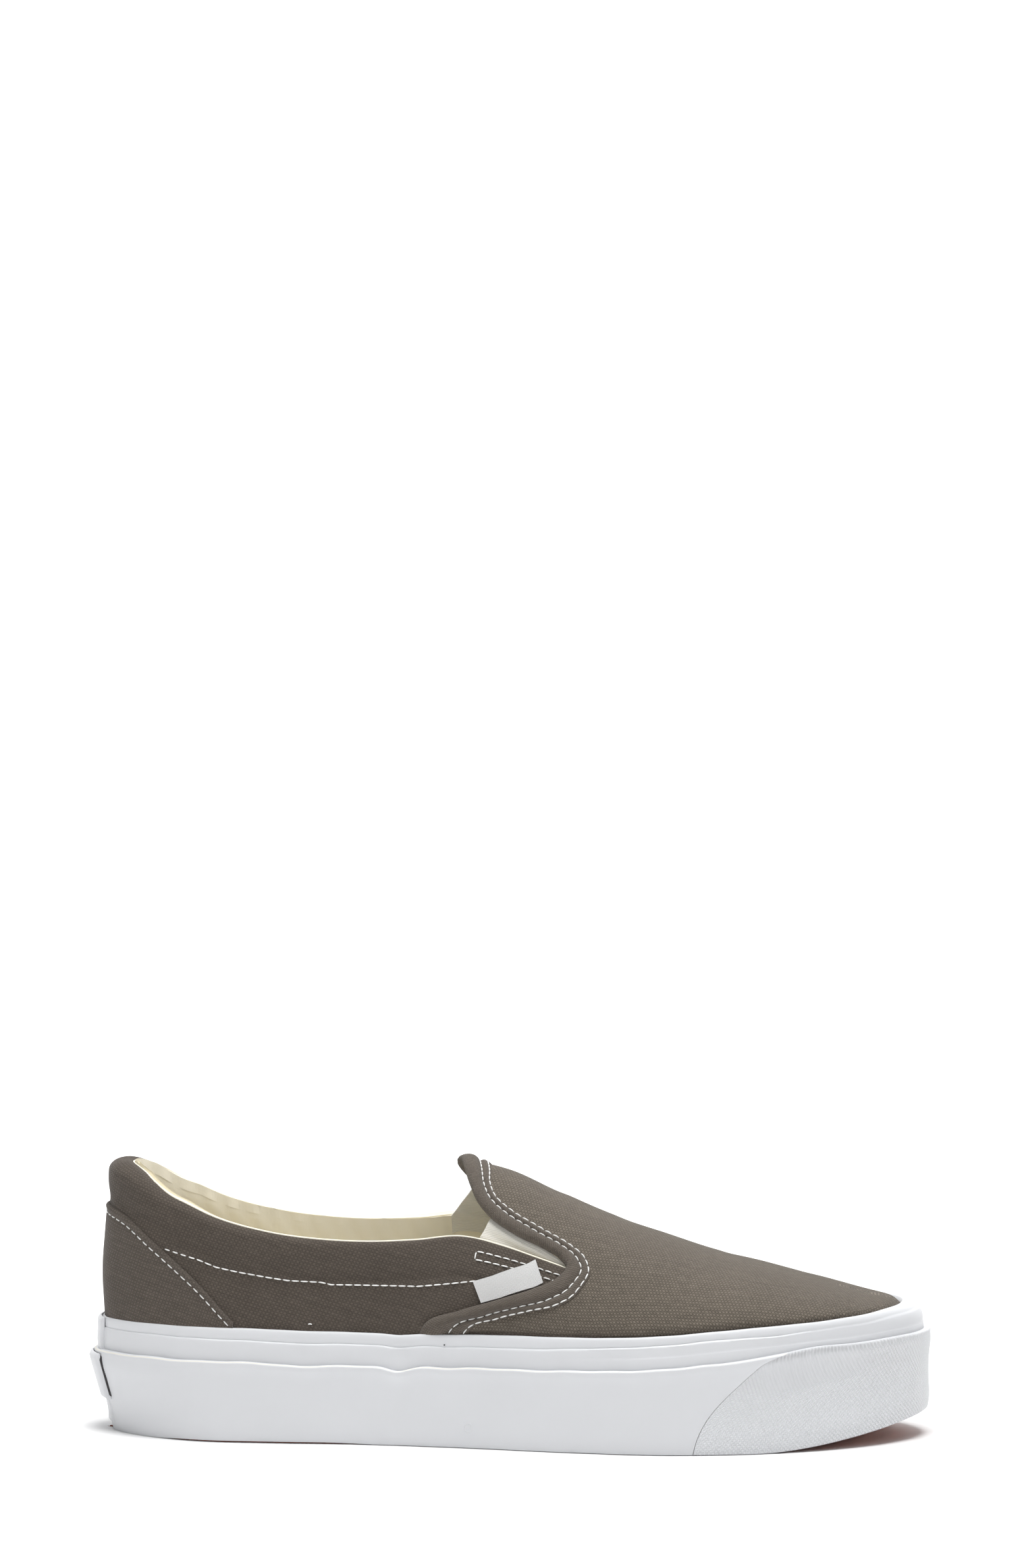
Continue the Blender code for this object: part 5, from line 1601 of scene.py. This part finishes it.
class SNEAKER_OT_outsole(bpy.types.Operator):
    """Build the gum rubber bottom with its tread"""
    bl_idname = "sneaker.outsole"
    bl_label = "Outsole"

    def execute(self, context):
        make_outsole()
        return {"FINISHED"}


class SNEAKER_OT_side_rubber(bpy.types.Operator):
    """Build the white strip, band, toe bumper and heel pieces"""
    bl_idname = "sneaker.side_rubber"
    bl_label = "Side rubber"

    def execute(self, context):
        make_strip()
        make_band()
        make_bumper()
        make_heel_pieces()
        return {"FINISHED"}


class SNEAKER_OT_footbed(bpy.types.Operator):
    """Build the footbed inside the shoe"""
    bl_idname = "sneaker.footbed"
    bl_label = "Footbed"

    def execute(self, context):
        make_insole()
        return {"FINISHED"}


class SNEAKER_OT_quarters(bpy.types.Operator):
    """Build the canvas sides with the padded collar, its lining and piping"""
    bl_idname = "sneaker.quarters"
    bl_label = "Quarters and collar"

    def execute(self, context):
        make_quarters()
        make_lining()
        make_piping()
        return {"FINISHED"}


class SNEAKER_OT_vamp(bpy.types.Operator):
    """Build the vamp with its flap and the bound strip along its rear edge"""
    bl_idname = "sneaker.vamp"
    bl_label = "Vamp"

    def execute(self, context):
        make_vamp()
        make_binding()
        return {"FINISHED"}


class SNEAKER_OT_counter(bpy.types.Operator):
    """Build the heel counter with its rolled edge"""
    bl_idname = "sneaker.counter"
    bl_label = "Heel counter"

    def execute(self, context):
        make_counter()
        return {"FINISHED"}


class SNEAKER_OT_gores(bpy.types.Operator):
    """Build both elastic gores"""
    bl_idname = "sneaker.gores"
    bl_label = "Gores"

    def execute(self, context):
        make_gores()
        return {"FINISHED"}


class SNEAKER_OT_tab(bpy.types.Operator):
    """Build the bare woven tab on the outer side"""
    bl_idname = "sneaker.tab"
    bl_label = "Side tab"

    def execute(self, context):
        make_tab()
        return {"FINISHED"}


class SNEAKER_OT_stitches(bpy.types.Operator):
    """Sew every row of stitches"""
    bl_idname = "sneaker.stitches"
    bl_label = "Stitches"

    def execute(self, context):
        make_stitches()
        return {"FINISHED"}


class SNEAKER_OT_marks(bpy.types.Operator):
    """Add the small marks of the outer side"""
    bl_idname = "sneaker.marks"
    bl_label = "Marks"

    def execute(self, context):
        make_marks()
        return {"FINISHED"}


OPERATORS = (SNEAKER_OT_stage, SNEAKER_OT_outsole, SNEAKER_OT_side_rubber, SNEAKER_OT_footbed,
             SNEAKER_OT_quarters, SNEAKER_OT_vamp, SNEAKER_OT_counter, SNEAKER_OT_gores,
             SNEAKER_OT_tab, SNEAKER_OT_stitches, SNEAKER_OT_marks)


class SNEAKER_PT_panel(bpy.types.Panel):
    """Lists the shoe's pieces, sizes and colours"""
    bl_idname = "SNEAKER_PT_panel"
    bl_label = "Slip-on Sneaker"
    bl_space_type = "VIEW_3D"
    bl_region_type = "UI"
    bl_category = "Sneaker"

    def draw(self, context):
        for operator in OPERATORS:
            self.layout.operator(operator.bl_idname)
        for group in (context.scene.sneaker_sizes, context.scene.sneaker_colours):
            box = self.layout.box()
            for name in group.__annotations__:
                box.prop(group, name)


CLASSES = (SneakerSizes, SneakerColours, *OPERATORS, SNEAKER_PT_panel)


def register():
    """Register the classes and their settings."""
    for one in CLASSES:
        bpy.utils.register_class(one)
    bpy.types.Scene.sneaker_sizes = bpy.props.PointerProperty(type=SneakerSizes)
    bpy.types.Scene.sneaker_colours = bpy.props.PointerProperty(type=SneakerColours)


def unregister():
    """Take the settings and classes away again."""
    del bpy.types.Scene.sneaker_colours
    del bpy.types.Scene.sneaker_sizes
    for one in reversed(CLASSES):
        bpy.utils.unregister_class(one)


def main():
    """Build the shoe and its stage."""
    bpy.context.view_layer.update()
    register()
    for step in (bpy.ops.sneaker.stage, bpy.ops.sneaker.outsole, bpy.ops.sneaker.side_rubber,
                 bpy.ops.sneaker.footbed, bpy.ops.sneaker.quarters, bpy.ops.sneaker.vamp,
                 bpy.ops.sneaker.counter, bpy.ops.sneaker.gores, bpy.ops.sneaker.tab,
                 bpy.ops.sneaker.stitches, bpy.ops.sneaker.marks):
        step()


if __name__ == "__main__":
    main()
